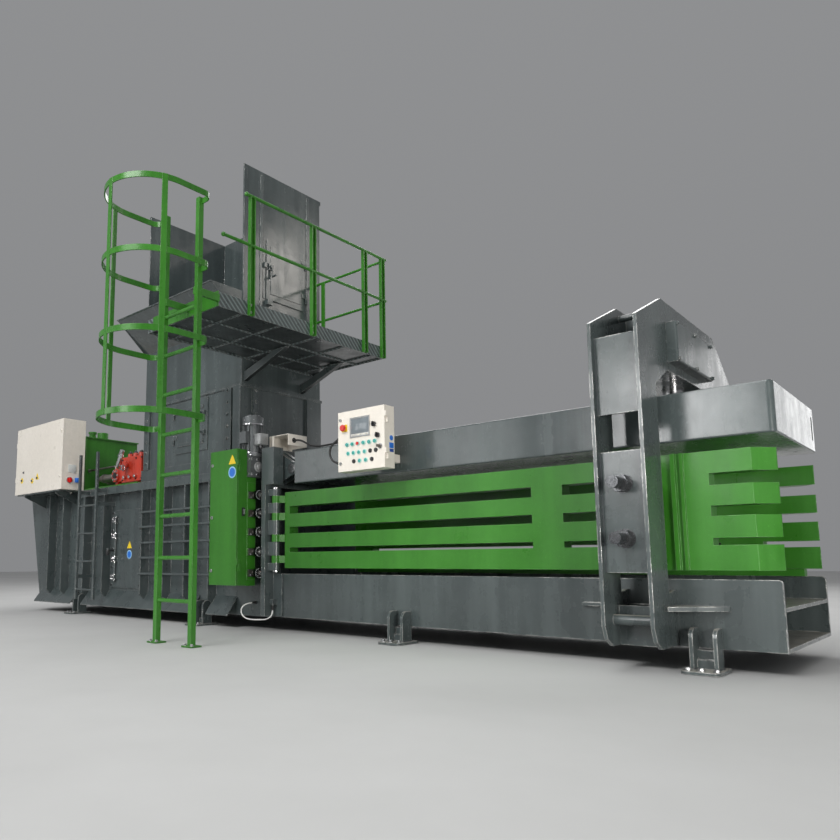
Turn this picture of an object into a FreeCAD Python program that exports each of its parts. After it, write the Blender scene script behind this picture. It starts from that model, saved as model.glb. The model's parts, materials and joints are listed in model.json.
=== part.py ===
import FreeCAD, Part
import math
import os
from FreeCAD import Vector as V

os.makedirs("parts", exist_ok=True)

# ---------------------------------------------------------------- driving sizes (mm)
# x runs from the ram end to the bale exit, y away from the control side, z up from the floor
HALF = 590.0            # half of the channel's outer width
WALL = 100.0            # depth of the slotted side walls
X_REAR, X_FRONT, X_EXIT = -4165.0, 430.0, 4143.0
Z_BASE, Z_FLOOR, Z_BED, Z_DECK = 115.0, 334.0, 471.0, 1385.0
WALL_H, BEAM_H = 631.0, 273.0       # heights of the slotted side wall and of the top beam
Z_W0 = Z_BED + 46                   # side wall, lowest and highest edge
Z_W1 = Z_W0 + WALL_H
Z_TOP0 = Z_W1 + 67                  # underside and top of the top beam
Z_TOP1 = Z_TOP0 + BEAM_H
Z_ROOF = Z_TOP0 - 25                # roof of the pressing chamber
SLOTS = [(Z_W0 + 512, Z_W0 + 449), (Z_W0 + 339, Z_W0 + 285), (Z_W0 + 169, Z_W0 + 132)]
RIB_D = 100.0           # depth of the housing's ribs
FRONT_D = 300.0         # how far the cabinets' fronts stand before the channel's side
GAP = 1.0               # air between a moving piece and its neighbour
RUN = 0.05              # radial running clearance of pins and shafts
TOWER_X0, TOWER_X1, TOWER_Y = -1670.0, -72.0, HALF - 64
Z_SHAFT, Z_APRON, Z_LIP, Z_HOP = 2205.0, 2807.0, 3110.0, 4400.0
PORTAL_X = (3398.0, 3647.0)         # outer faces of the two tension plates
PT = 20.0               # tension plate thickness
PIN = V(520, -HALF - 42, 0)         # hinge pin of the near side wall
PIN_R = 20.0
BEAM_PIN = (640.0, Z_TOP0 + 137)    # x and z of the top beam's hinge pin
ROWS = [477.0, 653.0, 820.0, 978.0, 1132.0]   # tie wire rows
DECK_Z = 2475.0
P_X1, P_Y0, P_Y1 = 863.0, -TOWER_Y - 1014, TOWER_Y - 116       # platform
LAD_X, LAD_Y, LAD_HW = 686.0, P_Y0 - 211, 208.0    # ladder centre, plane, half width
CAGE_R, CAGE_Y = 342.0, LAD_Y - 260
PAN = (1464.0, 1897.0, -HALF - FRONT_D, -HALF - FRONT_D + 110, Z_TOP0, Z_TOP0 + 440)       # control panel box
CAB = (-3997.0, -2795.0, -HALF - FRONT_D, -HALF - FRONT_D + 280, Z_DECK + 15,
       Z_DECK + 835)  # switchgear cabinet


# ---------------------------------------------------------------- helpers
def box(x0, x1, y0, y1, z0, z1):
    return Part.makeBox(x1 - x0, y1 - y0, z1 - z0, V(x0, y0, z0))


def cyl(x, y, z, r, h, axis="z"):
    d = {"x": V(1, 0, 0), "y": V(0, 1, 0), "z": V(0, 0, 1)}[axis]
    return Part.makeCylinder(r, h, V(x, y, z), d)


def rod(p, q, r):
    d = V(*q) - V(*p)
    return Part.makeCylinder(r, d.Length, V(*p), d)


def prism(pts, plane, a, b):
    """Polygon in plane xz, yz or xy, extruded from a to b along the third axis."""
    if plane == "xz":
        vs, d = [V(p, a, q) for p, q in pts], V(0, b - a, 0)
    elif plane == "yz":
        vs, d = [V(a, p, q) for p, q in pts], V(b - a, 0, 0)
    else:
        vs, d = [V(p, q, a) for p, q in pts], V(0, 0, b - a)
    return Part.Face(Part.makePolygon(vs + [vs[0]])).extrude(d)


def fuse(items):
    s = items[0].multiFuse(items[1:]) if len(items) > 1 else items[0]
    return s.removeSplitter()


def cut(s, items):
    return s.cut(items[0].multiFuse(items[1:]) if len(items) > 1 else items[0])


def near(d):
    """y of a plane that lies d outside the channel's side on the control side."""
    return -HALF - d


def far(d):
    return HALF + d


def mir(s):
    return s.mirror(V(0, 0, 0), V(0, 1, 0))


def both(items):
    return items + [mir(s) for s in items]


def hexa(x, y, z, af, h, axis="y"):
    r = af / math.sqrt(3)
    pts = [(r * math.cos(math.radians(60 * i)), r * math.sin(math.radians(60 * i))) for i in range(6)]
    if axis == "y":
        return prism([(x + p, z + q) for p, q in pts], "xz", y, y + h)
    if axis == "x":
        return prism([(y + p, z + q) for p, q in pts], "yz", x, x + h)
    return prism([(x + p, y + q) for p, q in pts], "xy", z, z + h)


def screw(x, y, z, axis="y", s=-1, af=24, h=12):
    """Hex head on a washer, standing out of a face along s times the axis."""
    w = 4.0
    o = {"x": (1, 0, 0), "y": (0, 1, 0), "z": (0, 0, 1)}[axis]
    a = [c * (0 if s > 0 else -w) for c in o]
    b = [c * (w if s > 0 else -w - h) for c in o]
    return fuse([cyl(x + a[0], y + a[1], z + a[2], af * 0.72, w, axis),
                 hexa(x + b[0], y + b[1], z + b[2], af, h, axis)])


def routed(points, r, bend=1e6):
    """Round tube through points: straight runs joined by tangent arcs, none over the given bend radius."""
    ps = [V(*p) for p in points]
    edges, radii, here = [], [], ps[0]
    for i in range(1, len(ps) - 1):
        a, b = (ps[i - 1] - ps[i]), (ps[i + 1] - ps[i])
        run = min(a.Length, b.Length)
        a.normalize()
        b.normalize()
        half = (math.pi - a.getAngle(b)) / 2
        back = min(0.45 * run, bend * math.tan(half))
        rad = back / math.tan(half)
        p, q = ps[i] + a * back, ps[i] + b * back
        m = (a + b)
        m.normalize()
        mid = ps[i] + m * (rad / math.cos(half) - rad)
        edges += [Part.LineSegment(here, p).toShape(), Part.Arc(p, mid, q).toShape()]
        radii.append(round(rad))
        here = q
    edges.append(Part.LineSegment(here, ps[-1]).toShape())
    path = Part.Wire(edges)
    d = ps[1] - ps[0]
    ring = Part.Wire([Part.makeCircle(r, ps[0], d)])
    pipe = path.makePipeShell([ring], True, True)
    print("tube r", r, "length", round(path.Length), "radii", radii,
          "volume ratio", round(pipe.Volume / (math.pi * r * r * path.Length), 4))
    return pipe


nodes = {}


# ---------------------------------------------------------------- bale channel
def channel_bed():
    s = [box(X_FRONT, X_EXIT, -HALF, -HALF + 20, Z_BASE, Z_BED),
         box(X_FRONT, X_EXIT, HALF - 20, HALF, Z_BASE, Z_BED),
         box(X_FRONT, X_EXIT, -HALF + 20, HALF - 20, Z_FLOOR - 20, Z_FLOOR),
         box(X_FRONT, X_EXIT, -HALF + 20, HALF - 20, Z_BASE, Z_BASE + 20)]
    ribs = [X_FRONT, 1180, 1930, 2680, 3500]
    s += [box(x, x + 20, -HALF + 20, HALF - 20, Z_BASE + 20, Z_FLOOR - 20) for x in ribs]
    bed = fuse(s)
    holes = [cyl(x, y, Z_BASE, 40, 20) for x in (810, 1560, 2310, 3330) for y in (-250, 250)]
    corner = []
    for y in (-HALF, HALF - 20):
        c = box(X_EXIT - 20, X_EXIT, y, y + 20, Z_BED - 20, Z_BED)
        corner.append(c.cut(cyl(X_EXIT - 20, y, Z_BED - 20, 20, 20, "y")))
    bed = cut(bed, holes + corner)
    xp = PORTAL_X[1]
    bar = [box(3135, xp, -HALF - 22, -HALF, 310, 331), cyl(3135, -HALF - 22, 320.5, 10.5, 22, "y")]
    gusset = prism([(xp, -HALF), (xp, -795), (xp + 18, -804), (3880, -622), (3902, -604), (3902, -HALF)],
                   "xy", 308, 333)
    return fuse([bed] + bar + [gusset])


def wall_body(x0, slots_from):
    """Slotted side wall on the control side: bars, portal pads and mitred fingers."""
    y0, y1 = -HALF, -HALF + WALL
    s = prism([(x0, y0), (4047, y0), (4143, y1), (x0, y1)], "xy", Z_W0, Z_W1)
    slots = []
    for hi, lo in SLOTS:
        slots += [box(slots_from, 2821, y0, y1, lo, hi), box(3025, 3600, y0, y1, lo, hi)]
        slots.append(box(3843, 4150, y0, y1, lo, hi))
    s = cut(s, slots)
    pads = [box(3658, 3682, y0 - 24, y0, Z_W0, Z_W1), box(3702, 3722, y0 - 14, y0, Z_W0, Z_W1)]
    return fuse([s] + pads)


KN = [(Z_W0 + 43, Z_W0 + 103), (Z_W0 + 218, Z_W0 + 278), (Z_W0 + 398, Z_W0 + 458),
      (Z_W1 - 88, Z_W1 - 28)]      # wall knuckle heights


def near_wall():
    s = [wall_body(585, 640)]
    for z0, z1 in KN:
        arm = prism([(PIN.x, PIN.y - 34), (PIN.x, PIN.y + 34), (585, -HALF + 60), (585, -HALF)], "xy", z0, z1)
        s.append(fuse([arm, cyl(PIN.x, PIN.y, z0, 34, z1 - z0)]))
    w = fuse(s)
    return cut(w, [cyl(PIN.x, PIN.y, Z_W0 - 17, PIN_R + RUN, WALL_H + 69)])


def hinge_post():
    """Fixed post at the start of the wall, with lugs between the wall's knuckles."""
    s = [box(412, 460, near(110), -HALF, 125, Z_TOP1 + 42), box(460, 566, -HALF - 12, -HALF, 125, Z_BED),
         box(412, 560, near(110), -HALF, Z_TOP0, Z_TOP1 + 42)]
    edges = [Z_W0 - 20] + [e for k in KN for e in k] + [Z_W1 + 30]
    for i in range(0, len(edges), 2):
        z0, z1 = edges[i] + GAP, edges[i + 1] - GAP
        s.append(fuse([box(455, PIN.x, PIN.y - 32, PIN.y + 32, z0, z1), cyl(PIN.x, PIN.y, z0, 32, z1 - z0)]))
    s += [box(464, 504, near(58), near(10), 218, 262), cyl(484, near(38), 206, 11, 14)]
    p = fuse(s)
    p = cut(p, [cyl(PIN.x, PIN.y, Z_W0 - 37, PIN_R, WALL_H + 89)])
    return p


def wall_pin():
    return fuse([cyl(PIN.x, PIN.y, Z_W0 - 19, PIN_R, Z_W1 + 29 - Z_W0 + 19),
                 cyl(PIN.x, PIN.y, Z_W1 + 29, PIN_R + 9, 14), cyl(PIN.x, PIN.y, Z_W0 - 33, PIN_R + 9, 14)])


def far_wall():
    s = [mir(wall_body(X_FRONT, 640))]
    s.append(box(X_FRONT, 4047, HALF - 70, HALF, Z_BED, Z_W0))
    return fuse(s)


BEAM_Y1 = HALF - 120


def top_beam():
    x0, x1, y0, y1, t = 700, 4167, -HALF, BEAM_Y1, 16
    outer = box(x0, x1, y0, y1, Z_TOP0, Z_TOP1)
    outer = outer.makeFillet(28, [e for e in outer.Edges if abs(e.CenterOfMass.x - x1) < 1
                                  and abs(e.Length - (Z_TOP1 - Z_TOP0)) < 1])
    outer = outer.makeFillet(10, [e for e in outer.Edges if e.CenterOfMass.x > x1 - 29
                                  and min(abs(e.CenterOfMass.z - z) for z in (Z_TOP0, Z_TOP1)) < 1])
    s = cut(outer, [box(x0 - 10, x1 - t, y0 + t, y1 - t, Z_TOP0 + t, Z_TOP1 - t)])
    slot = box(x1 - t - 1, x1 + 1, y1 - 95, y1 - 60, Z_TOP0 + 70, Z_TOP1 - 60)
    s = cut(s, [slot])
    bx, bz = BEAM_PIN
    lugs = []
    for y in (near(-70), far(-190)):
        lug = fuse([prism([(bx, bz - 60), (760, Z_TOP0 + 2), (760, Z_TOP1 - 2), (bx, bz + 60)], "xz", y,
                          y + 40),
                    cyl(bx, y, bz, 60, 40, "y")])
        lugs.append(lug)
    s = fuse([s] + lugs + [box(3440, 3605, -160, 160, Z_TOP1, Z_TOP1 + 12)])
    return cut(s, [cyl(bx, near(10), bz, 30 + RUN, 2 * HALF + 20, "y")])


def beam_yoke():
    """Frame crosshead that holds the top beam's hinge pin over the channel entrance."""
    bx, bz = BEAM_PIN
    s = [box(430, 460, -HALF, HALF, Z_TOP0, Z_TOP1 + 42)]
    for y in (near(-30), near(-111), far(-231), far(-149)):
        s.append(fuse([prism([(455, Z_TOP0 + 10), (bx, bz - 55), (bx, bz + 55), (455, Z_TOP1 + 32)], "xz", y,
                             y + 38),
                       cyl(bx, y, bz, 55, 38, "y")]))
    s = fuse(s)
    return cut(s,
               [cyl(bx, near(10), bz, 30, 2 * HALF + 20, "y"),
                box(400, 461, near(-110), far(-110), Z_ROOF, Z_TOP0 + 45)])


def beam_pin():
    bx, bz = BEAM_PIN
    return fuse([cyl(bx, near(-30), bz, 30, 2 * HALF - 141, "y"), cyl(bx, near(-18), bz, 42, 12, "y"),
                 cyl(bx, far(-111), bz, 42, 12, "y")])


# ---------------------------------------------------------------- portal (tension frame)
P_OUT = [(near(364), 230), (near(335), 160), (near(265), 120), (near(0), 120), (near(0), 412),
         (near(50), 412),
         (near(70), 402), (near(122), 402), (near(125), Z_W0 + 13), (near(125), Z_TOP1 + 44),
         (near(-73), Z_TOP1 + 155),
         (far(-73), Z_TOP1 + 155), (far(22), Z_TOP1 + 102), (far(22), Z_W0 + 13), (far(0), Z_BED),
         (far(0), 120),
         (far(170), 120), (far(240), 190), (far(240), Z_TOP1 + 269), (far(-149), Z_TOP1 + 557),
         (near(-32), Z_TOP1 + 567),
         (near(364), Z_TOP1 + 382)]
STUD_Z = (Z_W0 + 458, Z_W0 + 168)       # heights of the two side squeeze cylinders
SQ_X = sum(PORTAL_X) / 2 - 10.5         # x of all squeeze cylinders
STUD_R = 32.0


def portal():
    a0, a1 = PORTAL_X[0] - PT, PORTAL_X[1] - PT
    plates = [prism(P_OUT, "yz", a, a + PT) for a in (a0, a1)]
    m0, m1 = PORTAL_X[0], a1                       # clear space between the plates
    head_z = Z_TOP1 + 155
    webs = [box(m0, m1, near(320), near(300), Z_W0 - 11, Z_W1 + 2),
            box(m0, m1, near(320), near(300), Z_TOP0 + 139, Z_TOP1 + 302),
            box(m0, m1, far(216), far(236), 250, Z_TOP1 + 112),
            box(m0, m1, near(-90), far(-90), head_z, head_z + 25),
            box(m0, m1, near(-170), near(-195), head_z + 25, head_z + 387),
            box(m0, m1, far(-195), far(-170), head_z + 25, head_z + 387),
            box(m0, m1, near(140), near(0), 150, 170), box(m0, m1, near(170), near(150), 120, 330),
            cyl(m0, near(235), 258, 28, m1 - m0, "x"), cyl(m0, near(-71), head_z + 355, 20, m1 - m0, "x")]
    head = box(m0, m1, near(-195), far(-195), head_z + 342, head_z + 367)
    webs.append(cut(head, [cyl(SQ_X, 0, head_z + 257, 126, 200)]))
    s = fuse(plates + webs)
    bar_slot = [box(3100, 3700, near(23), near(0), 309, 332)]
    studs = [cyl(SQ_X, near(330), z, STUD_R + GAP, 40, "y") for z in STUD_Z]
    return cut(s, bar_slot + studs + [cyl(SQ_X, 0, head_z - 3, 64, 30)])


def portal_cover():
    x = PORTAL_X[1]
    c = box(x, x + 60, near(-90), 167, Z_TOP1 + 203, Z_TOP1 + 439)
    c = c.makeFillet(12, [e for e in c.Edges if abs(e.CenterOfMass.x - x - 60) < 1])
    pts = [(y, Z_TOP1 + z) for y in (near(-105), -160, 152) for z in (218, 424)]
    return fuse([c] + [screw(x + 60, y, z, "x", 1, 18, 8) for y, z in pts])


def squeeze_cylinders():
    """Two level barrels behind the lower web and one upright barrel in the head."""
    s, x, y0, zt = [], SQ_X, near(300), Z_TOP1 + 180
    for z in STUD_Z:
        barrel = fuse([cyl(x, y0, z, 88, 180, "y"), cyl(x, near(126), z, 102, 24, "y"),
                       cyl(x, near(470), z, STUD_R, 170, "y"),
                       hexa(x, near(372), z, 84, 48), cyl(x, near(324), z, 52, 4, "y")])
        s.append(cut(barrel, [cyl(x, y0 + 10, z, 46, 240, "y")]))
    top = fuse([cyl(x, 0, zt, 108, 372), cyl(x, 0, zt, 114, 40), cyl(x, 0, zt + 342, 114, 30),
                cyl(x, 0, zt + 372, 40, 28)])
    top = cut(top, [cyl(x, 0, zt - 68, 61, 400)])
    return Part.makeCompound(s + [top])


def side_rods():
    return Part.makeCompound([fuse([cyl(SQ_X, near(200), z, 45.95, 190, "y"),
                                    cyl(SQ_X, near(22), z, 60, 21, "y")])
                              for z in STUD_Z])


def top_rod():
    return fuse([cyl(SQ_X, 0, Z_TOP1 + 42, 60.95, 260), cyl(SQ_X, 0, Z_TOP1 + 13, 85, 34)])


# ---------------------------------------------------------------- feet
FEET_X = (-2820, -540, 1715, 3695)


def foot(x):
    """Base plate with round corners, two ears with round tops and a plate between them."""
    base = box(x, x + 185, near(200), near(-60), 0, 16)
    s = [base.makeFillet(38, [e for e in base.Edges if abs(e.Length - 16) < 0.1])]
    for e in (x + 25, x + 140):
        s += [box(e, e + 20, near(102), -HALF, 16, 172), cyl(e, near(52), 172, 50, 20, "x"),
              box(e, e + 20, near(52), -HALF, 172, 222)]
    s += [box(x + 45, x + 140, near(30), near(10), 16, 108), box(x + 45, x + 140, near(50), near(30), 16, 60)]
    return fuse(s)


def feet():
    return Part.makeCompound(both([foot(x) for x in FEET_X]))


# ---------------------------------------------------------------- press housing
RIBS = [-3457, -3115, -2610, -2185, -1436, -1046, -700, -325]
SKIRTS = [(-3740, -2840), (-2600, -560), (-330, -20)]      # runs of the sloped skirt, clear of the feet
HATCH = (-2132.0, -1560.0, 300.0, 1130.0)


LINE_Y = HALF - 100     # inner face of the chamber's liner


def press_housing():
    t = 12
    side = prism([(-3818, 108), (X_FRONT, 108), (X_FRONT, Z_DECK), (X_REAR, Z_DECK)], "xz", -HALF, -HALF + t)
    side = cut(side,
               [box(HATCH[0] + 30, HATCH[1] - 30, -HALF - 1, -HALF + t + 1, HATCH[2] + 30, HATCH[3] - 30)])
    liner = cut(box(-3650, X_FRONT, -LINE_Y - 15, -LINE_Y, Z_FLOOR, Z_ROOF + 15),
                [box(HATCH[0] + 60, HATCH[1] - 60, -LINE_Y - 16, -LINE_Y + 1, HATCH[2] + 70, HATCH[3] - 60)])
    s = both([side, liner, box(-3650, X_FRONT, -HALF + t, -LINE_Y, Z_ROOF, Z_ROOF + 15),
              box(X_FRONT - 30, X_FRONT, -HALF + t, -LINE_Y - 15, Z_FLOOR, Z_ROOF)])
    far_side = mir(prism([(-3818, 108), (X_FRONT, 108), (X_FRONT, Z_DECK), (X_REAR, Z_DECK)], "xz", -HALF,
                         -HALF + t))
    s.append(far_side)
    w = HALF - t
    s.append(box(-3720, X_FRONT, -w, w, Z_FLOOR - 20, Z_FLOOR))
    s.append(prism([(X_REAR, Z_DECK), (X_REAR + 16, Z_DECK), (-3802, 108), (-3818, 108)], "xz", -w, w))
    deck = box(X_REAR + 10, X_FRONT, -w, w, Z_DECK - 15, Z_DECK)
    deck = cut(deck,
               [box(TOWER_X0 + 10, TOWER_X1 - 10, -TOWER_Y + 10, TOWER_Y - 10, Z_DECK - 20, Z_DECK + 5)])
    s += [deck, box(TOWER_X1 - 10, TOWER_X1 + 10, -w, w, Z_ROOF + 5, Z_DECK - 15),
          box(X_FRONT - 30, X_FRONT, -w, w, Z_ROOF + 15, Z_DECK - 15),
          box(TOWER_X0 - 10, TOWER_X0 + 10, -w, w, Z_ROOF + 5, Z_DECK - 15)]
    rib = []
    for x in RIBS:
        rib.append(prism([(-HALF, 150), (near(RIB_D), 250), (near(RIB_D), Z_DECK), (-HALF, Z_DECK)], "yz",
                         x - 8, x + 8))
    rib.append(box(-2730, -60, near(RIB_D), -HALF, Z_DECK - 80, Z_DECK))
    rib += [prism([(-HALF, 270), (near(112), 114), (near(112), 102), (-HALF, 258)], "yz", a, b) for a,
            b in SKIRTS]
    s += both(rib)
    s.append(box(-3600, -3490, near(10), -HALF, 850, 950).cut(box(-3592, -3498, near(11), near(5), 858, 942)))
    s.append(cyl(227, near(8), 223, 12, 8, "y"))
    # hinge lugs of the side hatch
    for z in (420, 960):
        s.append(box(HATCH[1] + 14, HATCH[1] + 40, near(22), -HALF, z, z + 60))
    body = fuse(s + [hinge_post(), beam_yoke(), cabinet_bracket(), service_ladder()])
    return cut(body, [cyl(HATCH[1] + 22, near(12), 400, 6, 700)])


def side_hatch():
    x0, x1, z0, z1 = HATCH
    s = [box(x0, x1, near(12), near(GAP), z0, z1)]
    s += [cyl(x0 + 90, near(32), z0 + 60, 11, z1 - z0 - 120)]
    for z in (z0 + 90, z0 + 280, z0 + 530, z0 + 700):
        s.append(box(x0 + 66, x0 + 114, near(50), near(12), z, z + 44))
    s.append(box(x0 + 86, x0 + 94, near(110), near(30), z0 + 380, z0 + 410))
    s.append(cyl(x0 + 90, near(116), z0 + 350, 13, 70))
    for z in (490, 1030):
        arm = fuse([box(x1 - 40, x1 + 22, near(22), near(GAP), z, z + 40),
                    cyl(x1 + 22, near(12), z, 11, 40)])
        s.append(arm)
    h = fuse(s)
    pins = [cyl(x1 + 22, near(12), 400, 6 + RUN, 700)]
    return cut(h, pins)


# ---------------------------------------------------------------- ram and press cylinder
RAM_X1 = -1700.0        # ram face, drawn back
STROKE = 1650.0
BARREL_X1 = -1960.0     # front end of the press cylinder's barrel
BARREL_X0 = BARREL_X1 - STROKE - 150


def ram():
    w, z0, z1, x0, x1 = LINE_Y - 4, Z_FLOOR + 2, Z_ROOF - 4, RAM_X1 - STROKE - 70, RAM_X1
    s = [box(x1 - 60, x1, -w, w, z0, z1), box(x0, x1 - 60, -w, w, z1 - 20, z1),
         box(x0, x1 - 60, -w, w, z0, z0 + 20),
         box(x0, x1 - 60, -w, -w + 20, z0 + 20, z1 - 20), box(x0, x1 - 60, w - 20, w, z0 + 20, z1 - 20)]
    body = fuse(s)
    slots = [box(x1 - 62, x1 + 2, -w - 1, w + 1, z - 14,
                 z + 14).cut(box(x1 - 62, x1 - 40, -w - 2, w + 2, z - 15, z + 15))
             for z in ROWS]
    return cut(body, slots)


def ram_rod():
    x0 = BARREL_X0 + 70
    return fuse([cyl(x0, 0, 760, 70, RAM_X1 - 60 - x0, "x"), cyl(RAM_X1 - 100, 0, 760, 150, 40, "x"),
                 cyl(x0, 0, 760, 118, 80, "x")])


def press_cylinder():
    x0, x1, w = BARREL_X0, BARREL_X1, HALF - 12
    c = fuse([cyl(x0, 0, 760, 150, x1 + 40 - x0, "x"), cyl(x0 - 30, 0, 760, 165, 30, "x"),
              cyl(x1, 0, 760, 168, 40, "x")])
    c = cut(c,
            [cyl(x0 + 60, 0, 760, 118 + RUN, x1 - x0 - 60, "x"), cyl(x1 - 140, 0, 760, 70 + RUN, 300, "x")])
    foot = [box(x0, x0 + 60, -w + 8, w - 8, 700, 820), box(x0 + 20, x0 + 60, -w, -w + 58, Z_FLOOR, 1000),
            box(x0 + 20, x0 + 60, w - 58, w, Z_FLOOR, 1000)]
    foot = [cut(f, [cyl(x0 - 40, 0, 760, 149, 200, "x")]) for f in foot]
    return fuse([c] + foot)


# ---------------------------------------------------------------- feed shaft and hopper
INSP = (-1096.0, -565.0, 1650.0, 2170.0)


def ring(x0, x1, y0, y1, z0, z1, t):
    return box(x0, x1, y0, y1, z0, z1).cut(box(x0 + t, x1 - t, y0 + t, y1 - t, z0, z1))


def feed_shaft():
    x0, x1, y = TOWER_X0, TOWER_X1, TOWER_Y
    s = [ring(x0, x1, -y, y, Z_DECK, Z_SHAFT, 10)]
    band = ring(x0 - 20, x1 + 20, -y - 20, y + 20, Z_DECK, 1535, 20)
    s += [band, ring(x0 - 16, x1 + 16, -y - 16, y + 16, Z_SHAFT - 14, Z_SHAFT, 16)]
    for a, b in ((x0 + 30, x0 + 120), (-290, -190)):
        s += both([box(a, b, -y - 30, -y, 1535, Z_SHAFT - 14)])
    s += both([box(-180, x1, -y - 16, -y, 1535, Z_SHAFT - 14)])
    s += [box(x1, x1 + 30, -400, -340, 1535, Z_SHAFT - 14), box(x1, x1 + 30, 310, 380, 1535, Z_SHAFT - 14),
          box(x1, x1 + 14, 380, y, 1535, Z_SHAFT - 14)]
    body = fuse(s)
    body = cut(body, [box(INSP[0] + 35, INSP[1] - 35, -y - 1, -y + 11, INSP[2] + 35, INSP[3] - 35)])
    scr = [screw(a, -y - 30, z) for a in (x0 + 75, -240) for z in range(1600, 2190, 115)]
    scr += [screw(x1 + 30, -370, z, "x", 1) for z in range(1600, 2190, 115)]
    lugs = [box(INSP[0] - 46, INSP[0] - 14, -y - 22, -y, z, z + 46) for z in (1750, 2010)]
    body = fuse([body] + scr + lugs)
    return cut(body, [cyl(INSP[0] - 22, -y - 12, 1700, 6, 420)])


def inspection_door():
    x0, x1, z0, z1 = INSP
    y = -TOWER_Y
    s = [box(x0, x1, y - 12, y - GAP, z0, z1), box(x0 + 60, x1 - 60, y - 24, y - 12, z0 + 70, z0 + 100),
         box(x0 + 60, x1 - 60, y - 24, y - 12, z1 - 100, z1 - 70)]
    for z in (z0 + 150, z0 + 340):
        s += [box(x1 - 70, x1 - 20, y - 42, y - 12, z, z + 44), cyl(x1 - 45, y - 78, z + 22, 9, 40, "y"),
              box(x1 - 54, x1 - 36, y - 84, y - 74, z - 40, z + 34)]
    for z in (1797, 2057):
        s.append(fuse([box(x0 - 22, x0 + 40, y - 22, y - GAP, z, z + 40), cyl(x0 - 22, y - 12, z, 11, 40)]))
    return cut(fuse(s), [cyl(x0 - 22, y - 12, 1700, 6 + RUN, 420)])


DOOR = (-235.0, 280.0, 3110.0, 3720.0)


def hopper():
    x0, x1, y, t = TOWER_X0, TOWER_X1, TOWER_Y, 8
    s = [box(x1 - t, x1, -y, y, Z_SHAFT, Z_HOP), box(x0, x0 + t, -y, y, Z_SHAFT, Z_HOP),
         box(x0, x1, y - t, y, Z_SHAFT, Z_HOP), box(x0, x1, -y, -y + t, Z_SHAFT, Z_APRON)]
    s.append(ring(x0 - 16, x1 + 16, -y - 16, y + 16, Z_SHAFT, Z_SHAFT + 14, 16))
    out = -y - 360
    plate = [(-y, Z_APRON), (-y + t, Z_APRON), (out + t, Z_LIP), (out - 22, Z_LIP), (out - 22, Z_LIP - 10),
             (out - 6, Z_LIP - 10)]
    s.append(prism(plate, "yz", x0, x1))
    for a in (x0, x1 - t):
        s.append(prism([(-y, Z_APRON - 30), (-y, Z_LIP), (out - 6, Z_LIP), (out - 6, Z_LIP - 10)], "yz", a,
                       a + t))
    rim = ring(x0 - 16, x1 + 16, -y - 1, y + 16, Z_HOP - 40, Z_HOP, 16)
    s.append(cut(rim,
                 [box(x0 + t, x1 + 20, -y - 3, y + 20, 4300, 4500).cut(box(x0, x1, y, y + 20, 4300, 4500))]))
    for a in (-299, 339):
        s.append(box(x1, x1 + 8, a - 15, a + 15, 2640, Z_HOP - 40))
    s.append(box(x1, x1 + 8, -y, -y + 34, 2640, Z_HOP - 40))
    for a in (-1400, -900, -400):
        s.append(box(a - 5, a + 5, y, y + 40, Z_SHAFT + 14, Z_HOP - 40))
    for a in (-260, 260):
        s.append(box(x0 - 40, x0, a - 5, a + 5, Z_SHAFT + 14, Z_HOP - 40))
    body = fuse(s)
    d = DOOR
    body = cut(body, [box(x1 - t - 1, x1 + 1, d[0] + 22, d[1] - 22, d[2] + 22, d[3] - 22)])
    lugs = [box(x1, x1 + 22, d[1] + 14, d[1] + 42, z, z + 46) for z in (3200, 3560)]
    fr = [box(x1, x1 + 6, d[0] - 40, d[0] - 12, d[2], d[3]),
          box(x1, x1 + 30, d[0] - 40, d[0] - 14, 3420, 3468),
          box(x1, x1 + 40, d[0] - 6, d[0] + 60, d[2] - 60, d[2] - 12)]
    return cut(fuse([body] + lugs + fr), [cyl(x1 + 12, d[1] + 22, 3100, 6, 600)])


def access_door():
    x, d = TOWER_X1, DOOR
    s = [box(x + GAP, x + 12, d[0], d[1], d[2], d[3]),
         box(x + 12, x + 18, d[0] + 50, d[1] - 50, d[2] + 60, d[3] - 60)]
    for z in (3247, 3607):
        s.append(fuse([box(x + GAP, x + 22, d[1] - 40, d[1] + 22, z, z + 40),
                       cyl(x + 12, d[1] + 22, z, 11, 40)]))
    s.append(box(x + 18, x + 26, d[0] + 20, d[0] + 90, 3410, 3480))
    door = fuse(s)
    return cut(door, [cyl(x + 12, d[1] + 22, 3100, 6 + RUN, 600), cyl(x, d[0] + 55, 3444, 10 + RUN, 40, "x")])


def access_handle():
    x, y, z = TOWER_X1, DOOR[0] + 55, 3444
    return fuse([cyl(x + 2, y, z, 10, 40, "x"), cyl(x + 27, y, z, 20, 14, "x"),
                 box(x + 33, x + 41, y - 8, y + 8, z - 110, z), cyl(x + 41, y, z - 100, 10, 50, "x")])


def door_pins():
    """Hinge pins of the five service doors."""
    x0, y0, z0, z1 = CAB[0], CAB[2], CAB[4], CAB[5]
    tx, ty, tz0, tz1 = TY[1], TY[2], TY[4], TY[5]
    s = [cyl(HATCH[1] + 22, near(12), z, 6, 112) for z in (424, 964)]
    s += [cyl(INSP[0] - 22, -TOWER_Y - 12, z, 6, 92) for z in (1748, 2008)]
    s += [cyl(TOWER_X1 + 12, DOOR[1] + 22, z, 6, 92) for z in (3198, 3558)]
    s += [cyl(x0 - 8, y0 + 30, z0 + 100, 3, 118), cyl(x0 - 8, y0 + 30, z1 - 221, 3, 121)]
    s += [cyl(tx + 8, ty + 20, tz0 + 120, 3, 95), cyl(tx + 8, ty + 20, tz1 - 190, 3, 95)]
    return Part.makeCompound(s)


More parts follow.
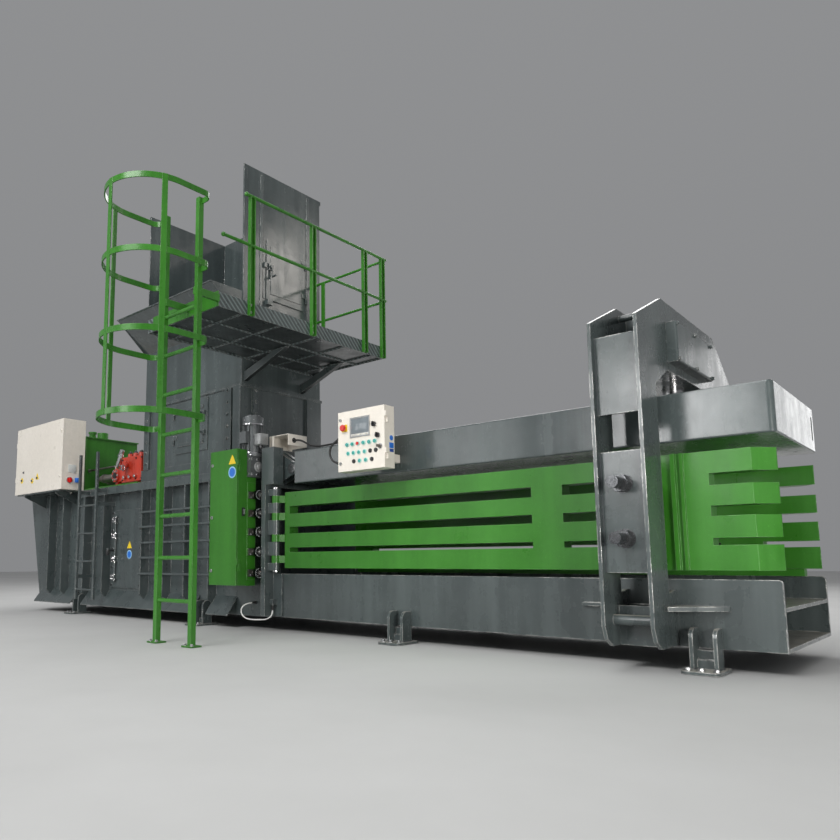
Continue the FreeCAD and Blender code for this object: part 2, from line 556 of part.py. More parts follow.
# ---------------------------------------------------------------- platform, rail, ladder, cage
def platform():
    x0, x1, y0, y1, z0, z1 = TOWER_X1, P_X1, P_Y0, P_Y1, DECK_Z - 20, DECK_Z + 94
    s = [box(x0, x1, y0, y0 + 8, z0, z1), box(x1 - 8, x1, y0, y1, z0, z1), box(x0, x1, y1 - 8, y1, z0, z1),
         box(x0, x0 + 8, y0, -TOWER_Y - 40, z0, z1), box(x0, x0 + 8, -TOWER_Y - 40, y1, z0, DECK_Z)]
    deck = box(x0 + 8, x1 - 8, y0 + 8, y1 - 8, DECK_Z - 6, DECK_Z)
    cross = [box(x0 + 8, x1 - 8, y, y + 10, z0, DECK_Z - 6) for y in (-1300, -900, -480, -120, 250)]
    bars = [box(x, x + 10, y0 + 8, y1 - 8, z0, DECK_Z - 6) for x in (200, 520)]
    arms = []
    for y in (-500, 230):
        arms.append(prism([(x0, z0 - 210), (x0, z0 - 125), (330, z0), (490, z0)], "xz", y, y + 45))
    return fuse(s + [deck] + bars + cross + arms)


def guard_rail():
    xr, zt, zm, ye = P_X1 + 22, DECK_Z + 948, DECK_Z + 543, P_Y1 + 22
    s = []
    for y in (P_Y0 + 303, P_Y0 + 990, P_Y1 - 282, P_Y1 - 24):
        s.append(fuse([box(P_X1, P_X1 + 8, y - 25, y + 25, DECK_Z - 20, zt - 5),
                       box(P_X1, P_X1 + 34, y - 25, y - 18, DECK_Z - 20, zt - 5),
                       box(P_X1, P_X1 + 34, y + 18, y + 25, DECK_Z - 20, zt - 5)]))
    s.append(fuse([box(62, 112, P_Y1, P_Y1 + 8, DECK_Z - 20, zt - 5),
                   box(62, 69, P_Y1, P_Y1 + 34, DECK_Z - 20, zt - 5)]))
    r = 13
    s += [rod((xr, P_Y0 + 240, zt), (xr, ye, zt), r), rod((xr, P_Y0 + 17, zm), (xr, ye, zm), r)]
    s += [rod((xr, ye, z), (-66, ye, z), r) for z in (zt, zm)]
    s += [Part.makeSphere(r, V(xr, ye, z)) for z in (zt, zm)]
    s += [Part.makeSphere(18, V(xr, P_Y0 + 240, zt)), Part.makeSphere(18, V(xr, P_Y0 + 17, zm))]
    return fuse(s)


def ladder():
    xc, y, h = LAD_X, LAD_Y, LAD_HW
    s = []
    for x in (xc - h, xc + h):
        s += [box(x - 20, x + 20, y - 20, y + 20, 10, DECK_Z + 736),
              box(x - 55, x + 55, y - 45, y + 45, 0, 10)]
    s += [rod((xc - h, y, z), (xc + h, y, z), 15) for z in range(300, 2401, 300)]
    s += [box(xc - h + 20, xc - h + 34, y - 10, P_Y0, DECK_Z + 15, DECK_Z + 70),
          box(846, 874, y - 10, P_Y0, DECK_Z + 15, DECK_Z + 70)]
    s.append(box(10, P_X1, P_Y0 - 8, P_Y0, DECK_Z - 18, DECK_Z + 99))
    return fuse(s)


HOOPS = [1560, 2113, 2664, 3184]
STRAPS = [-160, -90, -20]       # places of the upright straps round the hoop, in degrees
BAND = 42.0                     # height of a hoop


def hoop(r, back, z, h, bend):
    """U-shaped disc: half circle away from the ladder, straight arms, round corners beside the stiles."""
    plan = box(LAD_X - r, LAD_X + r, CAGE_Y, back, z, z + h)
    plan = plan.makeFillet(bend,
                           [e for e in plan.Edges if abs(e.Length - h) < 0.1 and e.CenterOfMass.y > back - 1])
    return fuse([plan,
                 cyl(LAD_X, CAGE_Y, z, r, h).common(box(LAD_X - r, LAD_X + r, CAGE_Y - r, CAGE_Y, z, z + h))])


def ladder_cage():
    s, t = [], 8
    for z in HOOPS:
        z0 = z - BAND / 2
        band = hoop(CAGE_R, LAD_Y + 12, z0, BAND, 60).cut(hoop(CAGE_R - t, LAD_Y + 12 - t, z0, BAND, 52))
        w = LAD_HW + 20
        s.append(band.cut(box(LAD_X - w, LAD_X + w, LAD_Y - 40, LAD_Y + 40, z0, z0 + BAND)))
    for ang in STRAPS:
        b = box(CAGE_R - 5, CAGE_R + 2, -20, 20, HOOPS[0] - BAND / 2, HOOPS[-1] + BAND / 2)
        b.rotate(V(0, 0, 0), V(0, 0, 1), ang)
        b.translate(V(LAD_X, CAGE_Y, 0))
        s.append(b)
    return fuse(s)


# ---------------------------------------------------------------- switchgear cabinet
SWITCH = (CAB[2] + 100, CAB[4] + 108)       # y and z of the main switch


def switch_cabinet():
    x0, x1, y0, y1, z0, z1 = CAB
    t = 4
    s = [box(x0, x1, y0 + 24, y1, z0, z1).cut(box(x0 + t, x1 - t, y0 + 23, y1 - t, z0 + t, z1 - t))]
    s.append(box(x0 + 60, x1 - 60, y1 - t - 6, y1 - t, z0 + 60, z1 - 60))
    s += [cyl(x1 - 120 - 60 * i, y1 - 90, z0 - 32, 14, 36) for i in range(4)]
    s += [box(x1, x1 + 3, y0 + 76, y0 + 178, z0 + 193, z0 + 290),
          box(x1, x1 + 30, y0 + 165, y0 + 205, z0 + 85, z0 + 135)]
    s += [box(x0 - 12, x0, y0 + 26, y0 + 44, z, z + 60) for z in (z0 + 100, z1 - 160)]
    b = fuse(s)
    return cut(b, [cyl(x1 - 6, SWITCH[0], SWITCH[1], 14 + RUN, 10, "x"), cyl(x0 - 8, y0 + 30, z0, 3, 900)])


def cabinet_door():
    x0, x1, y0, y1, z0, z1 = CAB
    d = [box(x0, x1, y0 + 3, y0 + 23, z0, z1).cut(box(x0 + 3, x1 - 3, y0 + 6, y0 + 24, z0 + 3, z1 - 3))]
    d += [cyl(x, y0 - 6, z, 11, 12, "y") for x,
          z in ((x0 + 221, z0 + 269), (x0 + 179, z0 + 171), (x0 + 459, z0 + 150),
                                                    (x0 + 590, z0 + 175))]
    d += [cyl(x1 - 45, y0 - 4, z, 13, 8, "y") for z in (z0 + 150, z1 - 150)]
    for z in (z0 + 61 + 101, z1 - 221):
        d.append(fuse([cyl(x0 - 8, y0 + 30, z, 7, 56), box(x0 - 14, x0 - 1, y0 + 3, y0 + 30, z, z + 56),
                       box(x0 - 14, x0 + 2, y0 + 3, y0 + 22, z, z + 56)]))
    return cut(fuse(d), [cyl(x0 - 8, y0 + 30, z0, 3 + RUN, 900)])


def main_switch():
    x, (y, z) = CAB[1], SWITCH
    return fuse([cyl(x - 4, y, z, 14, 20, "x"), cyl(x + 1, y, z, 30, 12, "x"),
                 box(x + 13, x + 34, y - 8, y + 8, z - 28, z + 28)])


def cabinet_bracket():
    x0, x1, y0, y1, z0, z1 = CAB
    s = [box(x0 + 60, x1 - 60, y0 + 10, near(-30), Z_DECK,
             z0).cut(box(x1 - 340, x1 - 90, y1 - 115, y1 - 60, 1300, 1500))]
    for x in (-3760, -2960):
        s.append(prism([(-HALF, Z_DECK - 150), (-HALF, Z_DECK), (near(280), Z_DECK),
                        (near(280), Z_DECK - 25)], "yz", x, x + 12))
    return fuse(s)


# ---------------------------------------------------------------- hydraulics
TANK = (-4080.0, -3270.0, -340.0, 380.0, 2115.0)
TRAY_Z = Z_DECK + 4.0
PUMP = (120.0, 1600.0)          # y and z of the pump motor's axis
PORT = (-2738.0, -500.0, 1540.0)    # elbow of the big pressure pipe


def oil_tank():
    """Tank on feet with a lid and a bolted side cover, and the drip tray of the valve side."""
    x0, x1, y0, y1, z1 = TANK
    s = [box(x0, x1, y0, y1, Z_DECK + 30, z1), box(x0 - 14, x1 + 14, y0 - 14, y1 + 14, z1, z1 + 14)]
    s += [box(x0 + 60, x0 + 110, y0, y1, Z_DECK, Z_DECK + 30), box(x1 - 110, x1, y0, y1, Z_DECK, Z_DECK + 30)]
    s += [cyl(-3675, y0 - 12, 1750, 190, 12, "y")]
    s += [hexa(-3675 + 165 * math.cos(a), y0 - 20, 1750 + 165 * math.sin(a), 20, 8)
          for a in [math.radians(45 * i) for i in range(8)]]
    s += [cyl(-3420, -180, z1 + 14, 42, 70), cyl(-3420, -180, z1 + 84, 52, 22),
          cyl(-3700, 120, z1 + 14, 70, 150)]
    s += [box(x1, -2850, -550, 500, Z_DECK, TRAY_Z), box(-2850, -1700, -HALF + 2, 500, Z_DECK, TRAY_Z),
          box(-2850, -1700, -HALF + 2, -HALF + 8, TRAY_Z, 1420),
          box(-1706, -1700, -HALF + 8, 500, TRAY_Z, 1420)]
    return fuse(s)


def pump_motor():
    """Finned motor, bell housing and pump in one line, on two feet."""
    y, z = PUMP
    x = -3200
    s = [cyl(x, y, z, 145, 330, "x"), cyl(x + 330, y, z, 175, 24, "x"), cyl(x + 354, y, z, 95, 66, "x"),
         cyl(x - 40, y, z, 150, 40, "x"), box(x + 20, x + 260, y - 100, y + 100, TRAY_Z, z - 120),
         box(x + 80, x + 210, y - 70, y + 70, z + 135, z + 190),
         box(x + 420, x + 500, y - 60, y + 60, z - 80, z + 60),
         cyl(PORT[0], y - 78, PORT[2], 46, 18, "y")]
    for i in range(10):
        f = box(x + 15, x + 320, -3, 3, 140, 160)
        f.rotate(V(0, 0, 0), V(1, 0, 0), 36 * i)
        f.translate(V(0, y, z))
        s.append(f)
    return fuse(s)


def valve_block():
    """Two manifold blocks with a round port flange, valve spools, plugs and an elbow fitting in front."""
    s = [cyl(-2300, -500, 1542, 70, 120, "y"), box(-2372, -2150, -480, -380, 1472, 1612),
         box(-2150, -1765, -500, -380, 1450, 1727), box(-2380, -1745, -520, -360, TRAY_Z, 1404),
         box(-2330, -2290, -470, -410, 1404, 1480), box(-1900, -1860, -470, -410, 1404, 1460)]
    for i, x in enumerate((-2300, -2205)):
        s += [box(x - 36, x + 36, -468, -402, 1612, 1660), cyl(x, -436, 1660, 24, 50)]
    for i, x in enumerate((-2080, -1970, -1860)):
        s += [cyl(x, -440, 1727, 30, 30), hexa(x, -440, 1757, 52, 14, "z"), cyl(x, -524, 1500, 22, 24, "y")]
    s += [cyl(-2040, -524, 1640, 34, 24, "y"), hexa(-2040, -540, 1640, 76, 16),
          cyl(-1765, -440, 1560, 30, 60, "x")]
    return fuse(s)


def steel_pipes():
    """Big pressure pipe from the valve block to the pump, and a thin return pipe to the tank."""
    x, y, z = PORT
    big = [routed([(-2372, y + 70, z), (x, y + 70, z), (x, PUMP[0] - 78, z)], 40, 62),
           cyl(x + 90, y + 70, z, 52, 24, "x"),
           cyl(-2396, y + 70, z, 54, 24, "x"), cyl(x, y + 170, z, 52, 24, "y")]
    thin = [routed([(-2250, -380, 1570), (-2250, -290, 1570), (-2640, -290, 1570), (-2640, -290, 1700),
                    (TANK[1], -290, 1700)], 12, 32), cyl(TANK[1], -290, 1700, 22, 20, "x")]
    return Part.makeCompound([fuse(big), fuse(thin)])


def service_ladder():
    s = [box(x - 15, x + 15, near(240), near(215), 175, 1760) for x in (-2490, -2120)]
    s += [rod((-2490, near(227), z), (-2120, near(227), z), 11) for z in (279, 582, 882, 1185)]
    s += [box(x - 6, x + 6, near(215), near(RIB_D), 1320, 1360) for x in (-2490, -2120)]
    s += [box(-2496, -2484, near(215), -HALF, 400, 440), box(-2126, -2114, near(215), -HALF, 1180, 1220)]
    return fuse(s)


# ---------------------------------------------------------------- tying unit
TY = (-44.0, 316.0, near(FRONT_D), near(FRONT_D - 108), 375.0, 1520.0)


def tying_cabinet():
    x0, x1, y0, y1, z0, z1 = TY
    s = [box(x0, x1, y0 + 14, y1, z0, z1).cut(box(x0 + 4, x1 - 4, y0 + 13, y1 - 4, z0 + 4, z1 - 4)),
         box(0, x1, y1, near(91), 370, 1286).cut(box(6, x1 - 6, y1 - 1, near(97), 382, 1276)),
         box(20, 204, near(91), -HALF, 370, 1286).cut(box(26, 198, near(85), near(-1), 382, 1276))]
    s += [box(60, 110, y1, -HALF, 1420, 1470), box(x1, x1 + 4, y1 + 6, near(97), 420, 1240)]
    s += [box(x1, x1 + 14, y0 + 16, y0 + 34, z, z + 50) for z in (z0 + 120, z1 - 190)]
    b = fuse(s)
    return cut(b, [cyl(x1 + 8, y0 + 20, z0, 3, 1200)])


def tying_door():
    x0, x1, y0, y1, z0, z1 = TY
    d = [box(x0, x1, y0, y0 + 13, z0, z1).cut(box(x0 + 3, x1 - 3, y0 + 3, y0 + 14, z0 + 3, z1 - 3)),
         cyl(x0 + 30, y0 - 5, (z0 + z1) / 2, 12, 10, "y"), cyl(x0 + 30, y0 - 5, z1 - 120, 12, 10, "y"),
         cyl(x0 + 30, y0 - 5, z0 + 120, 12, 10, "y")]
    for z in (z0 + 171, z1 - 139):
        d.append(fuse([box(x1 - 2, x1 + 14, y0, y0 + 13, z, z + 44),
                       box(x1 + 1, x1 + 14, y0, y0 + 20, z, z + 44),
                       cyl(x1 + 8, y0 + 20, z, 7, 44)]))
    return cut(fuse(d), [cyl(x1 + 8, y0 + 20, z0, 3 + RUN, 1200)])


def gear_motor():
    x, y = 277, near(94)
    s = [box(x - 82, x + 82, y - 96, y + 82, 1286, 1470), cyl(x, y, 1470, 95, 24), cyl(x, y, 1494, 74, 250),
         cyl(x, y, 1744, 90, 70), cyl(x, y, 1814, 70, 14), box(x - 40, x + 40, y - 118, y - 70, 1580, 1680)]
    for i in range(14):
        f = box(70, 92, -2.5, 2.5, 1500, 1738)
        f.rotate(V(0, 0, 0), V(0, 0, 1), 360.0 / 14 * i + 12)
        f.translate(V(x, y, 0))
        s.append(f)
    return fuse(s)


ROLLER = (372.0, near(122))        # start along x and y of the guide rollers
TUBE_Z = [455.0, 614.0, 764.0, 923.0, 1073.0]


def roller_axles():
    x1, (x, y) = TY[1] + 4, ROLLER
    return Part.makeCompound([fuse([box(x1, x1 + 14, y - 56, y + 22, z - 30, z + 30),
                                    cyl(x1 + 14, y, z, 12, x + 38 - x1 - 14, "x"),
                                    cyl(x1 + 14, y, z, 20, x - 6 - x1 - 14, "x"),
                                    cyl(x + 32, y, z, 19, 6, "x")])
                              for z in ROWS])


def guide_roller(z):
    x, y = ROLLER
    r = fuse([cyl(x, y, z, 42, 8, "x"), cyl(x + 8, y, z, 28, 14, "x"), cyl(x + 22, y, z, 42, 8, "x")])
    return cut(r, [cyl(x - 2, y, z, 12 + RUN, 60, "x")])


def wire_tubes():
    return Part.makeCompound([cyl(-1440, near(RIB_D + 12), z, 12, 1440, "x") for z in TUBE_Z])


# ---------------------------------------------------------------- cable tray and cords
def cable_tray():
    """Cover over the crosshead, open below and towards the control side, with a cable hole in its end."""
    x0, x1, y0, y1, z0, z1 = 404, 640, near(15), near(-205), Z_TOP1 + 42, Z_TOP1 + 156
    s = [box(x0, x1, y0, y1, z0 + 18, z1).cut(box(x0 + 6, x1 - 6, y0 - 1, y1 - 6, z0 + 17, z1 - 6)),
         box(430, 460, y1 - 6, y1, z0, z0 + 18), box(430, 460, y0, y1, z0, z0 + 6),
         box(430, 460, y0, y0 + 6, z0, z1)]
    return cut(fuse(s), [cyl(x1 - 10, PANEL_CORD[0][1], PANEL_CORD[0][2], 18, 20, "x")])


PANEL_CORD = [(612, -540, 1592), (666, -540, 1592), (724, -540, 1583), (780, -541, 1556), (840, -543, 1526),
              (910, -546, 1509), (985, -550, 1505), (1060, -557, 1505), (1132, -566, 1505),
              (1214, -586, 1508),
              (1290, -626, 1520), (1350, -682, 1536), (1402, -744, 1546), (1440, -800, 1518),
              (1414, -838, 1468),
              (1360, -850, 1432), (1337, -850, 1376), (1356, -845, 1320), (1408, -838, 1290),
              (1452, -838, 1290)]
LOOP_CORD = [(227, -598, 223), (227, -646, 223), (206, -688, 213), (174, -707, 182), (172, -708, 140),
             (200, -703, 106),
             (246, -697, 91), (300, -690, 88), (362, -678, 90), (428, -660, 93), (474, -640, 116),
             (484, -628, 162),
             (484, -628, 206)]
PANEL_R, LOOP_R = 8.0, 6.0


def panel_cable():
    return routed(PANEL_CORD, PANEL_R)


def loop_cable():
    return routed(LOOP_CORD, LOOP_R)


# ---------------------------------------------------------------- control panel
def panel_box():
    x0, x1, y0, y1, z0, z1 = PAN
    s = [box(x0, x1, y0 + 18, y1, z0, z1).cut(box(x0 + 3, x1 - 3, y0 + 17, y1 - 3, z0 + 3, z1 - 3)),
         box(1560, 1620, y1, -HALF, z0 + 65, z0 + 125), box(1740, 1800, y1, -HALF, z0 + 65, z0 + 125),
         box(x0 + 40, x1 - 40, y1, y1 + 10, z0 + 45, z0 + 285)]
    s += [box(x1, x1 + 12, y0 + 20, y0 + 36, z, z + 40) for z in (z0 + 60, z1 - 121)]
    s += [cyl(x1 + 7, y0 + 24, z0 + 60, 3, 77), cyl(x1 + 7, y0 + 24, z1 - 121, 3, 77)]
    s.append(cyl(x0 - 12, y0 + 52, z0 + 75, 15, 12, "x"))
    return fuse(s)


BTN = {"start": (1555, 1407), "feed": (1605, 1407), "stop": (1656, 1407), "ram": (1709, 1407),
       "tie": (1762, 1407),
       "reset": (1813, 1407)}
FIXED = [(1563, 1343), (1613, 1343), (1664, 1343), (1717, 1343), (1768, 1343), (1819, 1343),
         (1615, 1282), (1671, 1282), (1727, 1282), (1782, 1282)]
KNOBS = {"mode_knob": (1807, 1528), "feed_knob": (1840, 1446)}
KEY = (1858, 1366)
ESTOP = (1531, 1531)


def panel_door():
    x0, x1, y0, y1, z0, z1 = PAN
    y = y0
    d = [box(x0, x1, y, y + 17, z0, z1).cut(box(x0 + 3, x1 - 3, y + 4, y + 18, z0 + 3, z1 - 3))]
    d.append(box(1582, 1768, y - 5, y, 1452, 1600).cut(box(1592, 1758, y - 6, y - 3, 1462, 1590)))
    d += [cyl(x, y - 5, z, 15, 5, "y") for x, z in list(BTN.values()) + FIXED]
    d += [cyl(x, y - 9, z, 11, 4, "y") for x, z in FIXED]
    d += [cyl(x, y - 4, z, 17, 4, "y") for x, z in list(KNOBS.values()) + [KEY]]
    d.append(box(ESTOP[0] - 32, ESTOP[0] + 32, y - 4, y, ESTOP[1] - 32, ESTOP[1] + 32))
    d += [cyl(x, y - 7, z, 10, 8, "y") for x, z in ((x0 + 24, z0 + 60), (x0 + 24, z1 - 60))]
    for z in (z0 + 101, z1 - 80):
        d.append(fuse([box(x1 - 2, x1 + 13, y, y + 17, z, z + 36), box(x1 + 1, x1 + 13, y, y + 24, z, z + 36),
                       cyl(x1 + 7, y + 24, z, 6, 36)]))
    b = fuse(d)
    holes = [cyl(x, y - 10, z, 9 + RUN, 40, "y") for x,
             z in list(BTN.values()) + list(KNOBS.values()) + [KEY, ESTOP]]
    return cut(b, holes + [cyl(x1 + 7, y + 24, z0, 3 + RUN, 440)])


def button(name):
    x, z = BTN[name]
    y = PAN[2]
    return fuse([cyl(x, y - 7, z, 9, 22, "y"), cyl(x, y - 14, z, 12, 5, "y"), cyl(x, y - 9, z, 9, 2, "y")])


def knob(name):
    x, z = KNOBS[name]
    y = PAN[2]
    return fuse([cyl(x, y - 12, z, 9, 26, "y"), cyl(x, y - 18, z, 18, 13, "y"),
                 box(x - 4, x + 4, y - 30, y - 18, z - 17, z + 17)])


def key_switch():
    x, z = KEY
    y = PAN[2]
    return fuse([cyl(x, y - 11, z, 9, 25, "y"), cyl(x, y - 14, z, 13, 9, "y"),
                 box(x - 1.5, x + 1.5, y - 46, y - 14, z - 10, z + 10)])


def estop():
    x, z = ESTOP
    y = PAN[2]
    return fuse([cyl(x, y - 20, z, 9, 36, "y"), cyl(x, y - 30, z, 24, 10, "y"),
                 cyl(x, y - 36, z, 20, 6, "y")])


# ---------------------------------------------------------------- all nodes
MAKE = {
    "channel_bed": channel_bed, "near_wall": near_wall, "far_wall": far_wall, "wall_pin": wall_pin,
    "top_beam": top_beam, "beam_pin": beam_pin, "portal": portal,
    "portal_cover": portal_cover, "squeeze_cylinders": squeeze_cylinders,
    "side_rods": side_rods, "top_rod": top_rod, "feet": feet, "press_housing": press_housing,
    "side_hatch": side_hatch,
    "ram": ram, "ram_rod": ram_rod, "press_cylinder": press_cylinder, "feed_shaft": feed_shaft,
    "inspection_door": inspection_door, "hopper": hopper, "door_pins": door_pins,
    "access_door": access_door, "access_handle": access_handle, "platform": platform,
    "guard_rail": guard_rail, "ladder": ladder, "ladder_cage": ladder_cage, "switch_cabinet": switch_cabinet,
    "cabinet_door": cabinet_door, "main_switch": main_switch, "oil_tank": oil_tank, "pump_motor": pump_motor,
    "valve_block": valve_block,
    "steel_pipes": steel_pipes, "tying_cabinet": tying_cabinet,
    "tying_door": tying_door, "gear_motor": gear_motor, "roller_axles": roller_axles,
    "wire_tubes": wire_tubes, "cable_tray": cable_tray, "panel_cable": panel_cable,
    "loop_cable": loop_cable, "panel_box": panel_box, "panel_door": panel_door,
    "mode_knob": lambda: knob("mode_knob"), "feed_knob": lambda: knob("feed_knob"), "key_switch": key_switch,
    "estop_button": estop,
}
for i, z in enumerate(ROWS):
    MAKE["guide_roller_%d" % (i + 1)] = lambda z=z: guide_roller(z)
for n in BTN:
    MAKE["button_" + n] = lambda n=n: button(n)

for name, make in MAKE.items():
    nodes[name] = make()

# the row's origin is the middle of the bounding box, on the floor
bb = FreeCAD.BoundBox()
for s in nodes.values():
    bb.add(s.optimalBoundingBox(False, False))
SHIFT = V(-(bb.XMin + bb.XMax) / 2, -(bb.YMin + bb.YMax) / 2, -bb.ZMin)
print("count", len(nodes), "shift", [round(c, 3) for c in SHIFT], "size", round(bb.XLength),
      round(bb.YLength), round(bb.ZLength))
for name, s in nodes.items():
    s.translate(SHIFT)
    if not s.isValid():
        print("not valid:", name)
    if name not in ("squeeze_cylinders", "side_rods", "feet", "door_pins", "roller_axles", "wire_tubes",
                    "steel_pipes") and len(s.Solids) != 1:
        print("solids:", name, len(s.Solids))
    s.exportStep("parts/%s.step" % name)
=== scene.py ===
import json
import math
import random

import bmesh
import bpy
from mathutils import Matrix, Vector


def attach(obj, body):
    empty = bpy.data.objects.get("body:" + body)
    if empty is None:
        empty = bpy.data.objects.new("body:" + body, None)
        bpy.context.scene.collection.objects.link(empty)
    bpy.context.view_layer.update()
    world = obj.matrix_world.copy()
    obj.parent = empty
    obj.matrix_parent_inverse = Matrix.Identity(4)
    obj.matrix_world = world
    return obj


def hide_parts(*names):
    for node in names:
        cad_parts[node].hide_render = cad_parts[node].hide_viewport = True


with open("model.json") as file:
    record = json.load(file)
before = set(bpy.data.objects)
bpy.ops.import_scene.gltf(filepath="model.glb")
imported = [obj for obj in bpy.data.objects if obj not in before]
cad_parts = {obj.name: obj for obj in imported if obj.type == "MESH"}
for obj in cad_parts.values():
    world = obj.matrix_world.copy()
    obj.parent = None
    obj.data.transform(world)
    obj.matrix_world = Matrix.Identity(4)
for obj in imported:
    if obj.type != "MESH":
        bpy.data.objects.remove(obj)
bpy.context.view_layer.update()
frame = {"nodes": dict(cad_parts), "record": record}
random.seed(7)

SX, SY = -1.0, 762.5                        # the part's own frame to the row frame, in mm

# sizes of the solids that the small pieces sit on (own frame, mm)
HALF = 590.0                                # half of the channel's outer width
P_Y0, P_Y1 = -1540, 410                     # platform, nearest and farthest edge
P_X1 = 871                                  # platform, face towards the bale exit
LAD_Y = P_Y0 - 211                          # plane of the ladder
HATCH_X = (-2132, -1560)                    # side hatch, left and right edge
FEET_X = (-2820, -540, 1715, 3695)          # left edge of each pair of feet
ROWS = (477.0, 653.0, 820.0, 978.0, 1132.0)                         # heights of the tie wires
RIBS_X = (-3457, -3115, -2610, -2185, -1436, -1046, -700, -325)     # middle of each rib of the housing


def W(x, y, z):
    """A point of the part's own frame (mm) in metres."""
    return Vector(((x + SX) / 1000, (y + SY) / 1000, z / 1000))


# ---------------------------------------------------------------- camera, fitted to points of the photograph
CAM = Vector((4.949, -3.9775, 0.571))
YAW, PITCH, ROLL = math.radians(43.27), math.radians(7.18), math.radians(-0.19)
fwd = Vector((-math.sin(YAW) * math.cos(PITCH), math.cos(YAW) * math.cos(PITCH), math.sin(PITCH)))
right = Vector((math.cos(YAW), math.sin(YAW), 0))
up = right.cross(fwd)
right, up = (right * math.cos(ROLL) + up * math.sin(ROLL)), (up * math.cos(ROLL) - right * math.sin(ROLL))
cam_data = bpy.data.cameras.new("camera")
cam = bpy.data.objects.new("camera", cam_data)
bpy.context.scene.collection.objects.link(cam)
m = Matrix((right, up, -fwd)).transposed().to_4x4()
m.translation = CAM
cam.matrix_world = m
cam_data.sensor_width = 36.0
cam_data.lens = 30.733
cam_data.shift_x, cam_data.shift_y = 0.1136, 0.0608
cam_data.clip_end = 200
bpy.context.scene.camera = cam

# ---------------------------------------------------------------- cords
PANEL_CORD = [
    (612, -540, 1592), (666, -540, 1592), (724, -540, 1583), (780, -541, 1556), (840, -543, 1526),
    (910, -546, 1509), (985, -550, 1505), (1060, -557, 1505), (1132, -566, 1505), (1214, -586, 1508),
    (1290, -626, 1520), (1350, -682, 1536), (1402, -744, 1546), (1440, -800, 1518), (1414, -838, 1468),
    (1360, -850, 1432), (1337, -850, 1376), (1356, -845, 1320), (1408, -838, 1290), (1452, -838, 1290)]
LOOP_CORD = [
    (227, -598, 223), (227, -646, 223), (206, -688, 213), (174, -707, 182), (172, -708, 140),
    (200, -703, 106), (246, -697, 91), (300, -690, 88), (362, -678, 90), (428, -660, 93),
    (474, -640, 116), (484, -628, 162), (484, -628, 206)]


def tube_curve(name, points, radius, res=12):
    """Smooth round tube on a NURBS line with these control points (own frame, mm)."""
    c = bpy.data.curves.new(name, "CURVE")
    c.dimensions = "3D"
    c.bevel_depth = 1.0                     # the tube's radius is the points' own, so the bounds are right
    c.bevel_resolution = 4
    c.use_fill_caps = True
    s = c.splines.new("NURBS")
    s.points.add(len(points) - 1)
    for p, q in zip(s.points, points):
        p.co = (*W(*q), 1)
        p.radius = radius / 1000
    s.order_u = 3
    s.use_endpoint_u = True
    s.resolution_u = res
    o = bpy.data.objects.new(name, c)
    bpy.context.scene.collection.objects.link(o)
    return o


def spline_length(o):
    """Length of a curve object's line with no bevel, in metres."""
    d = o.data.bevel_depth
    o.data.bevel_depth = 0
    me = bpy.data.meshes.new_from_object(o)
    o.data.bevel_depth = d
    v = [p.co.copy() for p in me.vertices]
    bpy.data.meshes.remove(me)
    return sum((a - b).length for a, b in zip(v, v[1:]))


def material(name):
    m = bpy.data.materials.new(name)
    m.use_nodes = True
    return m, m.node_tree, m.node_tree.nodes["Principled BSDF"]


class Net:
    """Small helper to chain shader nodes."""
    def __init__(self, tree):
        self.t = tree

    def node(self, kind, **props):
        n = self.t.nodes.new(kind)
        for k, v in props.items():
            setattr(n, k, v)
        return n

    def put(self, socket, value):
        if hasattr(value, "is_linked"):
            self.t.links.new(value, socket)
        else:
            socket.default_value = value

    def coords(self, scale):
        """The point on the surface in the object's own coordinates, times scale."""
        tc = self.node("ShaderNodeTexCoord")
        mp = self.node("ShaderNodeMapping")
        mp.inputs["Scale"].default_value = scale
        self.put(mp.inputs["Vector"], tc.outputs["Object"])
        return mp.outputs["Vector"]

    def noise(self, scale, detail, rough, stretch=(1, 1, 1)):
        n = self.node("ShaderNodeTexNoise")
        self.put(n.inputs["Vector"], self.coords(stretch))
        n.inputs["Scale"].default_value = scale
        n.inputs["Detail"].default_value = detail
        n.inputs["Roughness"].default_value = rough
        return n.outputs["Fac"]

    def remap(self, v, a, b, c=0.0, d=1.0):
        n = self.node("ShaderNodeMapRange")
        for i, x in enumerate((v, a, b, c, d)):
            self.put(n.inputs[i], x)
        return n.outputs["Result"]

    def math(self, op, a, b=0.0, clamp=False):
        n = self.node("ShaderNodeMath", operation=op, use_clamp=clamp)
        self.put(n.inputs[0], a)
        self.put(n.inputs[1], b)
        return n.outputs[0]

    def mix(self, fac, a, b):
        n = self.node("ShaderNodeMix", data_type="RGBA")
        self.put(n.inputs[0], fac)
        self.put(n.inputs[6], (*a, 1) if isinstance(a, tuple) and len(a) == 3 else a)
        self.put(n.inputs[7], (*b, 1) if isinstance(b, tuple) and len(b) == 3 else b)
        return n.outputs[2]

    def edge(self, radius):
        """1 on edges: how far the rounded normal leaves the face's own."""
        sharp = 0.04                        # where an edge starts to show, as 1 - cosine
        b = self.node("ShaderNodeBevel", samples=6)
        b.inputs["Radius"].default_value = radius
        g = self.node("ShaderNodeNewGeometry")
        d = self.node("ShaderNodeVectorMath", operation="DOT_PRODUCT")
        self.put(d.inputs[0], b.outputs[0])
        self.put(d.inputs[1], g.outputs["Normal"])
        return self.remap(d.outputs["Value"], 1.0 - sharp, 1.0 - sharp * 3)

    def bump(self, height, distance, normal=None):
        n = self.node("ShaderNodeBump")
        n.inputs["Strength"].default_value = 1.0
        n.inputs["Distance"].default_value = distance
        self.put(n.inputs["Height"], height)
        if normal is not None:
            self.put(n.inputs["Normal"], normal)
        return n.outputs["Normal"]


